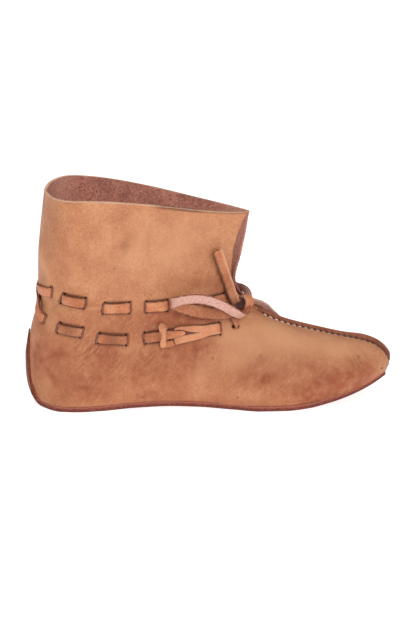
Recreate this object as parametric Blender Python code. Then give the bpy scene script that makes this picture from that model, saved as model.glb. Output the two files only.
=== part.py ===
"""Turnshoe: a low boot of one soft leather upper on a single sole, tied by a thong at the ankle.

Left shoe. X runs from heel to toe, the inner side of the foot is -Y, Z is up, and the origin is under
the middle of the shoe, on the floor. Sizes are in millimetres until a mesh is made.
"""
import bmesh
import bpy
import numpy as np
from mathutils import Matrix

MM = 0.001

# Driving sizes
LENGTH = 288.0
BALL_WIDTH = 91.0
COLLAR_HEIGHT = 169.0
WALL = 2.0
SOLE_THICK = 4.0
RISER_THICK = 2.7
CLEARANCE = 0.3

# The sizes that the tables below are drawn at, and the middle of the box there
DRAWN = np.array((288.0, 91.0, 169.0))
STRETCH = np.array((LENGTH, BALL_WIDTH, COLLAR_HEIGHT)) / DRAWN
CENTRE = np.array((0.77, 0.24, 0.0)) * STRETCH

# Edges of the sole and its riser
SOLE_LIP = 1.3
RISER_LAP = 2.5
TOE_LIP = 1.6
TOE_NARROWING = 0.5
RISER_POINT = 0.8
RISER_TIP = 0.25
SOLE_SHARES = np.array((1.0, 0.67, 0.33, 0.0))

# The seam down the vamp: a groove between two swollen lips
SEAM_LINES = np.array((6.0, 3.0, 1.4, 0.0))
SEAM_GROOVE = 1.3
GROOVE_WIDTH = 1.0
SEAM_LIP = 0.8
LIP_PLACE = 3.0
LIP_WIDTH = 1.6

# The thong and its slits; the climbs are the shares of the way round the heel where each length changes row
THONG_WIDTH = 8.0
THONG_THICK = 1.8
SLIT_HEIGHT = 9.8
SLIT_WIDTH = 5.8
SLIT_DEPTH = 9.0
SLIT_SLOPE = 1.4
SLACK_OUT = 0.5
SLACK_IN = 0.8
RIDE_OUT = 0.5 * THONG_THICK + SLACK_OUT
RIDE_IN = -(WALL + 0.5 * THONG_THICK + SLACK_IN)
RUN_BULGE = 0.5
RUN_STEP = 6.0
BACK_STEPS = 11
BACK_START = 0.03
CROSS_UNDER = 1.1
CROSS_OVER = CROSS_UNDER + THONG_THICK + 4.0 * CLEARANCE
END_SLIT_SHARE = 1.35
CLIMB_OVER = (0.0, 0.6)
CLIMB_UNDER = (0.45, 1.0)

# One row for each section of the last, from the toe's tip to the collar. A section runs in the plane
# through its low point (sole edge, heel or back) and its top point (vamp seam or front edge).
#   bow: how far the section arches up between them; mid_y: the middle line
#   wide_in, wide_out: half widths at the widest; wide_at: its share of the way up; crown: roundness above
#   flat_in, flat_out: half widths on the sole; cut: half width of the heel's cut under the riser
#   wrap: how far the sole turns round the heel; gap_in, gap_out: how far the front edges stop short
COLUMNS = ("top_x", "top_z", "low_x", "low_z", "bow", "mid_y", "wide_in", "wide_out", "wide_at", "crown",
           "flat_in", "flat_out", "cut", "wrap", "gap_in", "gap_out")
SECTIONS = (
    (142.4, 24.0, 139.0, 20.8, 0.0, -5.0, 6.0, 6.0, 0.35, 2.0, 5.0, 5.0, 0.0, 0.0, 0.0, 0.0),
    (144.4, 27.5, 134.0, 18.5, 0.0, -5.0, 10.5, 10.0, 0.35, 1.9, 9.0, 8.5, 0.0, 0.0, 0.0, 0.0),
    (143.7, 32.0, 127.0, 15.8, 0.0, -5.0, 16.0, 14.5, 0.34, 1.9, 14.0, 12.5, 0.0, 0.0, 0.0, 0.0),
    (140.4, 37.4, 118.0, 13.1, 0.0, -4.8, 22.0, 20.0, 0.33, 1.85, 19.5, 17.5, 0.0, 0.0, 0.0, 0.0),
    (133.6, 43.0, 106.0, 10.3, 0.0, -4.4, 28.5, 27.0, 0.31, 1.8, 25.5, 24.0, 0.0, 0.0, 0.0, 0.0),
    (122.0, 47.6, 92.0, 7.8, 0.0, -3.8, 34.5, 34.0, 0.29, 1.75, 31.5, 31.0, 0.0, 0.0, 0.0, 0.0),
    (104.3, 51.2, 76.0, 5.4, 0.0, -3.0, 40.0, 40.5, 0.27, 1.7, 37.0, 37.5, 0.0, 0.0, 0.0, 0.0),
    (84.4, 55.8, 58.0, 4.3, 0.0, -2.0, 43.5, 45.0, 0.25, 1.7, 40.5, 42.0, 0.0, 0.0, 0.0, 0.0),
    (62.6, 61.5, 38.0, 4.3, 0.0, -1.0, 44.5, 47.0, 0.25, 1.7, 41.5, 44.0, 0.0, 0.0, 0.0, 0.0),
    (43.6, 69.8, 16.0, 4.7, 0.0, 0.0, 41.5, 45.5, 0.28, 1.7, 37.0, 41.0, 0.0, 0.0, 0.0, 0.0),
    (33.0, 79.0, -8.0, 5.5, 0.0, 0.0, 38.5, 42.0, 0.32, 1.7, 31.5, 36.0, 0.0, 0.0, 5.0, 4.0),
    (26.0, 88.0, -34.0, 6.0, 0.0, 0.0, 37.0, 38.5, 0.35, 1.7, 29.5, 32.5, 0.0, 0.0, 9.0, 5.0),
    (23.2, 95.5, -60.0, 5.4, 0.0, 0.0, 37.0, 37.5, 0.36, 1.7, 30.0, 31.0, 0.0, 0.0, 11.0, 4.0),
    (23.8, 101.0, -85.0, 4.3, 0.0, 0.0, 37.0, 37.0, 0.35, 1.65, 31.5, 31.5, 0.0, 0.0, 12.3, 3.0),
    (24.4, 104.0, -100.0, 4.3, 0.0, 0.0, 37.0, 37.0, 0.34, 1.65, 32.0, 32.0, 0.0, 0.0, 13.4, 2.5),
    (25.2, 107.5, -116.0, 4.3, 0.0, 0.0, 37.0, 37.0, 0.33, 1.6, 29.5, 29.5, 0.0, 0.0, 13.8, 2.0),
    (26.0, 110.5, -129.0, 4.7, 0.0, 0.0, 37.0, 37.0, 0.33, 1.6, 21.0, 21.0, 0.0, 0.1, 14.0, 1.5),
    (26.5, 113.0, -136.0, 8.7, 0.0, 0.0, 37.0, 37.0, 0.33, 1.6, 11.0, 11.0, 11.5, 0.6, 14.2, 1.5),
    (27.0, 115.0, -138.8, 15.5, 0.0, 0.0, 37.0, 37.0, 0.33, 1.55, 3.0, 3.0, 9.0, 1.0, 14.2, 1.0),
    (27.6, 118.0, -139.9, 26.0, 0.0, 0.0, 37.0, 37.0, 0.33, 1.55, 0.0, 0.0, 7.0, 1.0, 14.2, 1.0),
    (28.2, 121.0, -140.0, 38.0, 0.0, 0.0, 37.0, 37.0, 0.32, 1.55, 0.0, 0.0, 4.5, 1.0, 14.3, 1.0),
    (28.9, 124.0, -138.9, 48.0, 0.0, 0.0, 37.0, 37.0, 0.31, 1.5, 0.0, 0.0, 2.0, 1.0, 14.3, 1.0),
    (29.4, 126.5, -137.6, 55.0, 0.0, 0.0, 37.0, 37.0, 0.30, 1.5, 0.0, 0.0, 0.0, 1.0, 14.2, 1.0),
    (30.2, 130.0, -134.8, 68.0, 0.0, 0.0, 37.5, 37.5, 0.28, 1.45, 0.0, 0.0, 0.0, 1.0, 13.2, 1.0),
    (30.8, 133.0, -128.6, 82.0, 0.0, 0.0, 38.0, 38.0, 0.25, 1.45, 0.0, 0.0, 0.0, 1.0, 12.3, 1.0),
    (31.4, 136.5, -130.6, 98.0, 0.0, 0.0, 39.0, 39.0, 0.22, 1.4, 0.0, 0.0, 0.0, 1.0, 10.5, 1.0),
    (32.0, 140.5, -131.2, 117.0, 1.0, 0.0, 40.5, 40.5, 0.19, 1.4, 0.0, 0.0, 0.0, 1.0, 8.6, 1.0),
    (32.8, 145.0, -129.0, 141.0, 2.8, 0.0, 42.5, 42.5, 0.16, 1.35, 0.0, 0.0, 0.0, 1.0, 6.1, 1.0),
    (33.8, 149.6, -126.0, 169.0, 5.0, 0.0, 44.5, 44.5, 0.15, 1.35, 0.0, 0.0, 0.0, 1.0, 2.5, 1.0),
)
THROAT_ROW = 9
RISER_TIP_ROW = 22
LAST_ROW = len(SECTIONS) - 1

# Rings of the upper's mesh between those rows, lines across half a section, and steps for measuring
TOE_RINGS = 16
QUARTER_RINGS = 20
SHAFT_RINGS = 10
HALF_LINES = 13
DENSE = 40
FINE_ROWS = 3000
NUDGE = 0.4
TURN_NUDGE = 0.02
ROW_WEIGHT = 5.0
BOW_PEAK = 27.0 / 4.0

# Slits on each side, from the heel to the throat: place along X and height
HIGH_SLITS = ((-122.0, 94.5), (-113.8, 90.5), (-96.5, 88.0), (-82.0, 83.5), (-61.7, 83.0),
              (-49.2, 82.8), (-32.3, 83.0), (-8.0, 82.5), (13.7, 84.3))
LOW_SLITS = ((-125.0, 70.5), (-117.0, 67.0), (-98.9, 64.5), (-86.6, 59.7), (-64.4, 57.5),
             (-50.5, 58.3), (8.2, 63.6), (20.3, 61.5))
HIGH_END = (19.5, 86.5)
LOW_END = (21.3, 68.0)
HIGH_BACK = (-131.0, 90.5)
LOW_BACK = (-131.5, 76.0)
HIGH_RUN = HIGH_SLITS + (HIGH_END,)
LOW_RUN = LOW_SLITS + (LOW_END,)

# The slit join on the inner side: a tab along the low run, and a turn of thong over it, as x, z and ride
JOIN_WIDTH = 6.0
JOIN_TAB = ((-42.0, 59.4, 4.4), (-35.0, 60.2, 4.4), (-28.0, 60.8, 4.4), (-21.0, 61.6, 4.4),
            (-14.0, 62.2, 4.3))
JOIN_TURN = ((-37.5, 68.5, 1.6), (-37.0, 65.5, 5.0), (-36.0, 61.5, 7.2), (-35.8, 57.0, 7.2),
             (-36.2, 53.0, 5.0), (-36.5, 50.0, 1.6))

# The bow: its knot, and bands of thong as rows of a place and the direction of the band's width there
BAND_WIDTH = 7.0
BAND_STEP = 4.0
FINE_STEP = 0.5
KNOT_PLACE = np.array((31.5, -13.5, 81.5))
KNOT_SIZE = np.array((4.6, 4.6, 5.2))
KNOT_REACH = 1.06
KNOT_SIDES = 12
KNOT_RINGS = 8
BOW_BANDS = {
    "bow_loop_long": (
        (31.5, -13.5, 81.5, 0.2, 0.3, 1.0), (22.5, -23.5, 78.7, 0.1, 0.2, 1.0),
        (14.0, -28.5, 75.0, 0.1, 0.2, 1.0), (0.0, -30.5, 76.0, 0.1, 0.2, 1.0),
        (-13.0, -32.0, 79.0, 0.1, 0.1, 1.0), (-26.0, -35.0, 84.0, 0.1, 0.0, 1.0),
        (-31.5, -39.0, 87.5, 0.0, -0.2, 1.0), (-27.0, -43.0, 90.0, 0.0, -0.3, 1.0),
        (-12.0, -42.0, 91.5, 0.0, -0.3, 1.0), (2.0, -38.5, 88.0, 0.3, -0.3, 1.0),
        (13.0, -34.5, 81.5, 0.5, -0.3, 1.0), (20.5, -30.5, 76.0, 0.6, -0.3, 0.8),
        (27.5, -25.0, 74.0, 0.8, -0.4, 0.4), (33.0, -19.5, 78.0, 1.0, -0.4, 0.1),
        (31.5, -13.5, 81.5, 1.0, -0.4, 0.0)),
    "bow_loop_short": (
        (31.5, -13.5, 81.5, 0.2, -0.3, 1.0), (38.5, -5.5, 78.0, 0.3, -0.5, 0.8),
        (42.8, 1.0, 75.4, 0.2, -0.6, 0.8), (47.3, 5.6, 71.2, 0.2, -0.7, 0.6),
        (52.3, 9.8, 67.0, 0.3, -0.7, 0.6), (56.0, 13.5, 63.8, 0.3, -0.5, 0.8),
        (58.5, 17.5, 62.3, 0.3, 0.2, 0.9), (57.0, 21.5, 60.5, 0.2, 0.2, 0.9),
        (51.5, 20.5, 63.0, 0.1, 0.1, 1.0), (45.5, 15.0, 69.0, 0.1, 0.0, 1.0),
        (41.0, 7.0, 77.0, 0.1, -0.1, 1.0), (37.5, -2.0, 83.0, 0.1, -0.1, 1.0),
        (31.5, -13.5, 81.5, 0.1, 0.0, 1.0)),
    "bow_end_near": (
        (22.0, -23.6, 70.4, 0.9, 0.35, -0.1), (21.6, -21.4, 74.2, 0.9, 0.4, 0.0),
        (21.3, -18.6, 79.0, 0.8, 0.55, 0.0), (19.7, -16.8, 83.9, 0.7, 0.65, 0.15),
        (17.8, -15.7, 88.7, 0.7, 0.65, 0.15), (16.0, -15.4, 94.5, 0.75, 0.6, 0.2),
        (14.1, -15.4, 100.2, 0.8, 0.5, 0.3), (10.2, -17.6, 112.2, 0.85, 0.4, 0.3),
        (6.4, -19.8, 123.6, 0.85, 0.4, 0.3)),
    "bow_end_far": (
        (31.5, -13.5, 81.5, 0.6, -0.6, -0.1), (32.4, -11.2, 89.2, 0.5, -0.6, 0.5),
        (32.0, -5.0, 90.2, 0.3, -0.2, 0.9), (29.6, 2.0, 90.4, -0.2, 0.0, 0.95),
        (26.2, 8.5, 90.3, -0.45, 0.0, 0.85), (21.9, 13.6, 90.8, -0.5, 0.0, 0.8),
        (17.2, 17.2, 92.3, -0.45, -0.1, 0.85), (12.0, 20.0, 94.0, -0.35, -0.1, 0.9),
        (6.5, 21.8, 95.5, -0.3, -0.1, 0.95)),
}


def clear_scene():
    """Removes whatever objects the file holds."""
    for old in list(bpy.data.objects):
        bpy.data.objects.remove(old, do_unlink=True)


def monotone(values, at):
    """A smooth curve through evenly numbered values that never overshoots them, read at row numbers."""
    step = np.diff(values)
    before, after = step[:-1], step[1:]
    same_way = before * after > 0.0
    total = np.where(same_way, before + after, 1.0)
    slope = np.concatenate((step[:1], np.where(same_way, 2.0 * before * after / total, 0.0), step[-1:]))
    low = np.clip(np.floor(at).astype(int), 0, len(values) - 2)
    t = at - low
    rise = t * t * (3.0 - 2.0 * t)
    return (values[low] + step[low] * rise + slope[low] * t * (1.0 - t) ** 2
            - slope[low + 1] * t * t * (1.0 - t))


def sections_at(rows):
    """Every column of the table at these row numbers, at the driving sizes."""
    rows = np.asarray(rows, float)
    table = np.array(SECTIONS)
    columns = {name: monotone(table[:, i], rows) for i, name in enumerate(COLUMNS)}
    for name in ("top_x", "low_x"):
        columns[name] = columns[name] * STRETCH[0]
    for name in ("mid_y", "wide_in", "wide_out", "flat_in", "flat_out"):
        columns[name] = columns[name] * STRETCH[1]
    for name in ("top_z", "low_z"):
        columns[name] = columns[name] * STRETCH[2]
    return columns


def on_side(columns, side, *names):
    """The columns of one side of the foot, -1 for the inner and 1 for the outer."""
    return [columns[name + ("_in" if side < 0 else "_out")] for name in names]


def ring_rows():
    """Row numbers of the mesh's rings, evenly spread in each of three zones."""
    zones = ((0, THROAT_ROW, TOE_RINGS), (THROAT_ROW, RISER_TIP_ROW, QUARTER_RINGS),
             (RISER_TIP_ROW, LAST_ROW, SHAFT_RINGS))
    rows = [np.zeros(1)]
    for first, last, count in zones:
        fine = np.linspace(first, last, DENSE * count)
        c = sections_at(fine)
        travel = np.hypot(np.diff(c["top_x"]), np.diff(c["top_z"]))
        travel += np.hypot(np.diff(c["low_x"]), np.diff(c["low_z"]))
        length = np.concatenate(([0.0], np.cumsum(travel + ROW_WEIGHT * np.diff(fine))))
        rows.append(np.interp(np.linspace(0.0, length[-1], count + 1)[1:], length, fine))
    return np.concatenate(rows)


def half_sections(rows, side):
    """Points of half sections from the sole's edge to the top, as rings by lines by xyz.

    Below the widest point the curve is an ellipse that starts at the flat of the sole, above it a
    superellipse that closes at the top. It is read at even steps of its length, with closer lines
    beside the seam, and it stops short of the top by the throat's gap.
    """
    c = {name: value[:, None] for name, value in sections_at(rows).items()}
    wide, flat, gap = on_side(c, side, "wide", "flat", "gap")
    bulge = 1.0 - (flat / wide) ** 2
    start = np.maximum(flat, c["cut"])
    first = np.arccos(np.sqrt(np.clip((1.0 - (start / wide) ** 2) / bulge, 0.0, 1.0)))
    share = np.linspace(0.0, 1.0, DENSE)[None, :]
    low = first + (0.5 * np.pi - first) * share
    high = 0.5 * np.pi * share[:, 1:]
    power = 2.0 / c["crown"]
    along = np.concatenate((c["wide_at"] * (1.0 - np.cos(low)),
                            c["wide_at"] + (1.0 - c["wide_at"]) * np.sin(high) ** power), axis=1)
    out = np.concatenate((wide * np.sqrt(1.0 - bulge * np.cos(low) ** 2),
                          wide * np.cos(high).clip(0.0) ** power), axis=1)
    arch = BOW_PEAK * c["bow"] * along * (1.0 - along) ** 2
    curve = np.stack((c["low_x"] + along * (c["top_x"] - c["low_x"]), c["mid_y"] + side * out,
                      c["low_z"] + along * (c["top_z"] - c["low_z"]) + arch), axis=2)
    travel = np.linalg.norm(np.diff(curve, axis=1), axis=2)
    length = np.concatenate((np.zeros((len(rows), 1)), np.cumsum(travel, axis=1)), axis=1)
    rings = []
    for ring, way in enumerate(length):
        end = way[-1] - gap[ring, 0]
        near = SEAM_LINES * min(1.0, end / (4.0 * SEAM_LINES[0]))
        at = np.concatenate((np.linspace(0.0, end - near[0], HALF_LINES + 1)[:-1], end - near))
        rings.append(np.stack([np.interp(at, way, curve[ring, :, i]) for i in range(3)], axis=1))
    return np.array(rings)


def vertex_normals(points, quads):
    """Outward normals of a mesh, the mean of its faces around each point."""
    a, b, c, d = (points[quads[:, i]] for i in range(4))
    face = np.cross(c - a, d - b)
    normals = np.zeros_like(points)
    for corner in range(4):
        np.add.at(normals, quads[:, corner], face)
    size = np.linalg.norm(normals, axis=1)[:, None]
    return normals / np.where(size > 0.0, size, 1.0)


def grid_quads(index):
    """Quads between the neighbouring points of a grid of point numbers."""
    return np.stack((index[:-1, :-1], index[:-1, 1:], index[1:, 1:], index[1:, :-1]), axis=-1).reshape(-1, 4)


def rim_quads(quads, shift):
    """Quads that join the open edges of a skin to those of its copy, whose points are numbered on by shift."""
    edges = np.concatenate([quads[:, [i, (i + 1) % 4]] for i in range(4)])
    ways = {(int(a), int(b)) for a, b in edges}
    return np.array([(b, a, a + shift, b + shift) for a, b in sorted(ways) if (b, a) not in ways])


def add_object(name, points, faces, material):
    """One named object of the part, from points in millimetres."""
    mesh = bpy.data.meshes.new(name)
    mesh.from_pydata(((points - CENTRE) * MM).tolist(), [], faces.tolist())
    mesh.update()
    mesh.shade_smooth()
    mesh.materials.append(material)
    thing = bpy.data.objects.new(name, mesh)
    bpy.context.scene.collection.objects.link(thing)
    return thing


def leather(name, colour, roughness):
    """A plain leather material."""
    material = bpy.data.materials.new(name)
    material.use_nodes = True
    shader = material.node_tree.nodes["Principled BSDF"]
    shader.inputs["Base Color"].default_value = (*colour, 1.0)
    shader.inputs["Roughness"].default_value = roughness
    return material


def seam_rise(rows, lines):
    """How far the skin is raised beside the vamp seam: a trough on the line and a lip on each side."""
    away = np.concatenate((np.full(lines - len(SEAM_LINES), 10.0 * LIP_PLACE), SEAM_LINES))
    lip = SEAM_LIP * np.exp(-((away - LIP_PLACE) / LIP_WIDTH) ** 2)
    groove = SEAM_GROOVE * np.exp(-(away / GROOVE_WIDTH) ** 2)
    fade = np.clip(rows / 2.0, 0.0, 1.0) * np.clip(THROAT_ROW - rows, 0.0, 1.0)
    return fade[:, None] * (lip - groove)[None, :]


def make_upper(material):
    """The upper: an outer skin, a copy of it one wall further in, and rims that join their open edges.

    Both halves share the seam line from the toe to the throat, and the back line above the riser. The rim
    on the sole lies level, so there the wall is measured straight across the foot.
    """
    rows = ring_rows()
    halves = np.stack([half_sections(rows, side) for side in (-1.0, 1.0)])
    rings, lines = halves.shape[1:3]
    index = np.arange(2 * rings * lines).reshape(2, rings, lines)
    index[1, :TOE_RINGS + 1, -1] = index[0, :TOE_RINGS + 1, -1]
    index[1, TOE_RINGS + QUARTER_RINGS:, 0] = index[0, TOE_RINGS + QUARTER_RINGS:, 0]
    quads = np.concatenate((grid_quads(index[0]), grid_quads(index[1])[:, ::-1]))
    points = halves.reshape(-1, 3)
    rise = np.broadcast_to(seam_rise(rows, lines), (2, rings, lines)).reshape(-1, 1)
    points = points + rise * vertex_normals(points, quads)
    normals = vertex_normals(points, quads)
    wrap = sections_at(rows)["wrap"][:, None]
    for half, side in ((0, -1.0), (1, 1.0)):
        edge = index[half, :, 0]
        across = np.array((0.0, side, 0.0))
        level = normals[edge] * wrap + across * (1.0 - wrap)
        normals[edge] = level / np.linalg.norm(level, axis=1)[:, None]
    used = np.unique(quads)
    number = np.zeros(len(points), int)
    number[used] = np.arange(len(used))
    quads = number[quads]
    skin, lining = points[used], points[used] - WALL * normals[used]
    faces = np.concatenate((quads, quads[:, ::-1] + len(used), rim_quads(quads, len(used))))
    return add_object("upper", np.concatenate((skin, lining)), faces, material)


def heel_turn(c, across):
    """How far along its section, as a share, the sole has turned in at a place across the heel."""
    side = np.where(across < 0.0, -1.0, 1.0)
    wide = np.where(side < 0.0, c["wide_in"][:, None], c["wide_out"][:, None])
    flat = np.where(side < 0.0, c["flat_in"][:, None], c["flat_out"][:, None])
    reach = np.clip(np.abs(across), flat, wide)
    bulge = 1.0 - (flat / wide) ** 2
    turn = 1.0 - np.sqrt(np.clip((1.0 - (reach / wide) ** 2) / bulge, 0.0, 1.0))
    return c["wrap"][:, None] * c["wide_at"][:, None] * turn


def make_sole(material):
    """The sole: a sheet under the low line of the sections, up the heel as a riser that ends in a point."""
    rows = ring_rows()
    rows = rows[rows <= RISER_TIP_ROW]
    rows = np.append(rows, RISER_TIP_ROW + RISER_TIP)
    c = sections_at(rows)
    across = []
    for side in (-1.0, 1.0):
        flat = on_side(c, side, "flat")[0]
        edge = np.maximum(flat, c["cut"])
        rim = np.maximum(flat + SOLE_LIP, c["cut"] + RISER_LAP)
        edge[-1], rim[-1] = 0.5 * RISER_POINT, RISER_POINT
        across.append(side * np.concatenate((rim[:, None], edge[:, None] * SOLE_SHARES), axis=1))
    across = np.concatenate((across[0], across[1][:, -2::-1]), axis=1)
    along = heel_turn(c, across)
    sheet = np.stack((c["low_x"][:, None] + along * (c["top_x"] - c["low_x"])[:, None],
                      c["mid_y"][:, None] + across,
                      c["low_z"][:, None] + along * (c["top_z"] - c["low_z"])[:, None]), axis=2)
    tip = sheet[0] + TOE_LIP * (sheet[0] - sheet[1]) / np.linalg.norm(sheet[0] - sheet[1], axis=1)[:, None]
    middle = sheet[0, :, 1].mean()
    tip[:, 1] = middle + TOE_NARROWING * (sheet[0, :, 1] - middle)
    sheet = np.concatenate((tip[None], sheet))
    wrap = np.concatenate(([0.0], c["wrap"]))
    index = np.arange(sheet.shape[0] * sheet.shape[1]).reshape(sheet.shape[:2])
    quads = grid_quads(index)
    points = sheet.reshape(-1, 3)
    down = -vertex_normals(points, quads)
    thick = np.repeat(SOLE_THICK + (RISER_THICK - SOLE_THICK) * wrap, sheet.shape[1])[:, None]
    top = points + CLEARANCE * down
    bottom = top + thick * down
    faces = np.concatenate((quads, quads[:, ::-1] + len(points), rim_quads(quads, len(points))))
    return add_object("sole", np.concatenate((top, bottom)), faces, material)


def find_section(places):
    """The row number and the share along its section of places in side view, as x and z."""
    rows = np.linspace(0.0, LAST_ROW, FINE_ROWS)
    c = sections_at(rows)
    run, rise = c["top_x"] - c["low_x"], c["top_z"] - c["low_z"]
    dx, dz = places[:, :1] - c["low_x"], places[:, 1:] - c["low_z"]
    over = dx * rise - dz * run
    inside = (over[:, :-1] < 0.0) & (over[:, 1:] >= 0.0)
    at = inside.argmax(axis=1)
    line = np.arange(len(places))
    part = over[line, at] / (over[line, at] - over[line, at + 1])
    row = rows[at] + part * (rows[1] - rows[0])
    c = sections_at(row)
    run, rise = c["top_x"] - c["low_x"], c["top_z"] - c["low_z"]
    share = ((places[:, 0] - c["low_x"]) * run + (places[:, 1] - c["low_z"]) * rise) / (run ** 2 + rise ** 2)
    return row, share


def skin_at(row, share, side):
    """Points of the outer skin at row numbers and shares along their sections, on one side."""
    c = sections_at(row)
    wide, flat = on_side(c, side, "wide", "flat")
    bulge = 1.0 - (flat / wide) ** 2
    below = np.clip((c["wide_at"] - share) / c["wide_at"], 0.0, 1.0)
    above = np.clip((share - c["wide_at"]) / (1.0 - c["wide_at"]), 0.0, 1.0)
    out = wide * np.sqrt(1.0 - bulge * below ** 2) * (1.0 - above ** c["crown"]) ** (1.0 / c["crown"])
    return np.stack((c["low_x"] + share * (c["top_x"] - c["low_x"]), c["mid_y"] + side * out,
                     c["low_z"] + share * (c["top_z"] - c["low_z"])), axis=1)


def on_quarter(places, side):
    """Points and outward normals of the skin at places in side view, as x and z."""
    places = np.asarray(places, float)
    centre = skin_at(*find_section(places), side)
    slope = []
    for step in ((NUDGE, 0.0), (0.0, NUDGE)):
        ahead = skin_at(*find_section(places + step), side)
        behind = skin_at(*find_section(places - step), side)
        slope.append(side * (ahead[:, 1] - behind[:, 1]) / (2.0 * NUDGE))
    normal = np.stack((-slope[0], np.full(len(places), side), -slope[1]), axis=1)
    return centre, normal / np.linalg.norm(normal, axis=1)[:, None]


def round_heel(near_slit, far_slit, near_side, lift, climb):
    """Points and normals from a slit on one side, round the back of the ankle, to a slit on the other.

    The turn round the heel is even, the change of row lies between two shares of the way, and the middle
    stands off the skin by lift.
    """
    row, share = find_section(np.array((near_slit, far_slit)) * STRETCH[[0, 2]])
    turn = np.arccos(np.clip(1.0 - share / sections_at(row)["wide_at"], -1.0, 1.0))
    way = np.linspace(BACK_START, 1.0 - BACK_START, BACK_STEPS)
    done = np.clip((way - climb[0]) / (climb[1] - climb[0]), 0.0, 1.0)
    rows = row[0] + (row[1] - row[0]) * done * done * (3.0 - 2.0 * done)
    angle = -turn[0] + (turn[1] + turn[0]) * way

    def skin(rows, angle):
        share = sections_at(rows)["wide_at"] * (1.0 - np.cos(angle))
        sides = [skin_at(rows, share, near_side), skin_at(rows, share, -near_side)]
        return np.where((angle < 0.0)[:, None], sides[0], sides[1])

    points = skin(rows, angle)
    along = skin(rows, angle + TURN_NUDGE) - skin(rows, angle - TURN_NUDGE)
    rise = skin(rows + TURN_NUDGE, angle) - skin(rows - TURN_NUDGE, angle)
    normal = np.cross(along, rise) * near_side
    normal /= np.linalg.norm(normal, axis=1)[:, None]
    return points + (RIDE_OUT + lift * np.sin(np.pi * way) ** 0.5)[:, None] * normal, normal


def weave(stops, side, outside):
    """Points and normals of a thong along one side, changing between outside and inside at each inner stop."""
    places, rides = [], []
    for a, b in zip(stops[:-1], stops[1:]):
        a, b = np.array(a), np.array(b)
        far = np.linalg.norm(b - a)
        count = max(2, int(round(far / RUN_STEP)) + 1)
        way = np.linspace(SLIT_SLOPE, far - SLIT_SLOPE, count) / far
        places.append(a + (b - a) * way[:, None])
        bulge = RUN_BULGE * np.sin(np.pi * way)
        rides.append(RIDE_OUT + bulge if outside else np.full(count, RIDE_IN))
        outside = not outside
    points, normals = on_quarter(np.concatenate(places) * STRETCH[[0, 2]], side)
    return points + np.concatenate(rides)[:, None] * normals, normals


def ribbon(name, points, across, width, thick, material):
    """A flat band swept along points, with its width along the given directions, squared to the path."""
    along = np.gradient(points, axis=0)
    along /= np.linalg.norm(along, axis=1)[:, None]
    across = across - along * np.sum(across * along, axis=1)[:, None]
    across /= np.linalg.norm(across, axis=1)[:, None]
    face = np.cross(along, across)
    corners = ((-0.5, -0.5), (0.5, -0.5), (0.5, 0.5), (-0.5, 0.5))
    rings = np.stack([points + w * width * across + t * thick * face for w, t in corners], axis=1)
    index = np.arange(4 * len(points)).reshape(-1, 4)
    sides = grid_quads(np.concatenate((index, index[:, :1]), axis=1))
    faces = np.concatenate((sides, index[:1, ::-1], index[-1:]))
    return add_object(name, rings.reshape(-1, 3), faces, material)


def make_thong(name, near_stops, far_stops, near_side, lift, climb, material):
    """One length of thong, from the throat back along one side, round the heel, and forward on the other."""
    ends_outside = len(near_stops) % 2 == 1
    near = weave(near_stops[::-1], near_side, ends_outside)
    back = round_heel(near_stops[0], far_stops[0], near_side, lift, climb)
    far = weave(far_stops, -near_side, False)
    points = np.concatenate((near[0], back[0], far[0]))
    normals = np.concatenate((near[1], back[1], far[1]))
    across = np.cross(normals, np.gradient(points, axis=0))
    return ribbon(name, points, across, THONG_WIDTH, THONG_THICK, material)


def make_join(material):
    """The slit join: a tab of thong that lies on the low run, and the turn of thong that crosses it."""
    for name, table in (("join_tab", JOIN_TAB), ("join_turn", JOIN_TURN)):
        rows = np.array(table)
        skin, normals = on_quarter(rows[:, :2] * STRETCH[[0, 2]], -1.0)
        points = skin + rows[:, 2:] * normals
        ribbon(name, points, np.cross(normals, np.gradient(points, axis=0)), JOIN_WIDTH, THONG_THICK, material)


def smooth_path(rows, step):
    """Points about a step apart on a smooth curve through the rows of a table, column by column."""
    legs = np.linalg.norm(np.diff(rows[:, :3], axis=0), axis=1)
    at = np.concatenate(([0.0], np.cumsum(legs)))
    slope = np.gradient(rows, at, axis=0)
    place = np.linspace(0.0, at[-1], max(4, int(round(at[-1] / step)) + 1))
    leg = np.clip(np.searchsorted(at, place, side="right") - 1, 0, len(legs) - 1)
    size = legs[leg][:, None]
    t = (place - at[leg])[:, None] / size
    start, finish = rows[leg], rows[leg + 1]
    return (start + (finish - start) * t * t * (3.0 - 2.0 * t) + slope[leg] * size * t * (1.0 - t) ** 2
            - slope[leg + 1] * size * t * t * (1.0 - t))


def make_bow(material):
    """The knot and its bands; a band stops just short of the knot, and the near end comes up past it."""
    knot = KNOT_PLACE * STRETCH
    place = Matrix.Translation(((knot - CENTRE) * MM).tolist()) @ Matrix.Diagonal((*(KNOT_SIZE * MM), 1.0))
    ball = bmesh.new()
    bmesh.ops.create_uvsphere(ball, u_segments=KNOT_SIDES, v_segments=KNOT_RINGS, radius=1.0, matrix=place)
    mesh = bpy.data.meshes.new("bow_knot")
    ball.to_mesh(mesh)
    ball.free()
    mesh.materials.append(material)
    mesh.shade_smooth()
    bpy.context.scene.collection.objects.link(bpy.data.objects.new("bow_knot", mesh))
    for name, table in BOW_BANDS.items():
        rows = np.array(table)
        rows[:, :3] *= STRETCH
        rows = smooth_path(rows, FINE_STEP)
        away = np.linalg.norm((rows[:, :3] - knot) / (KNOT_SIZE + CLEARANCE), axis=1)
        rows = smooth_path(rows[away > KNOT_REACH], BAND_STEP)
        ribbon(name, rows[:, :3], rows[:, 3:], BAND_WIDTH, THONG_THICK, material)


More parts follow.
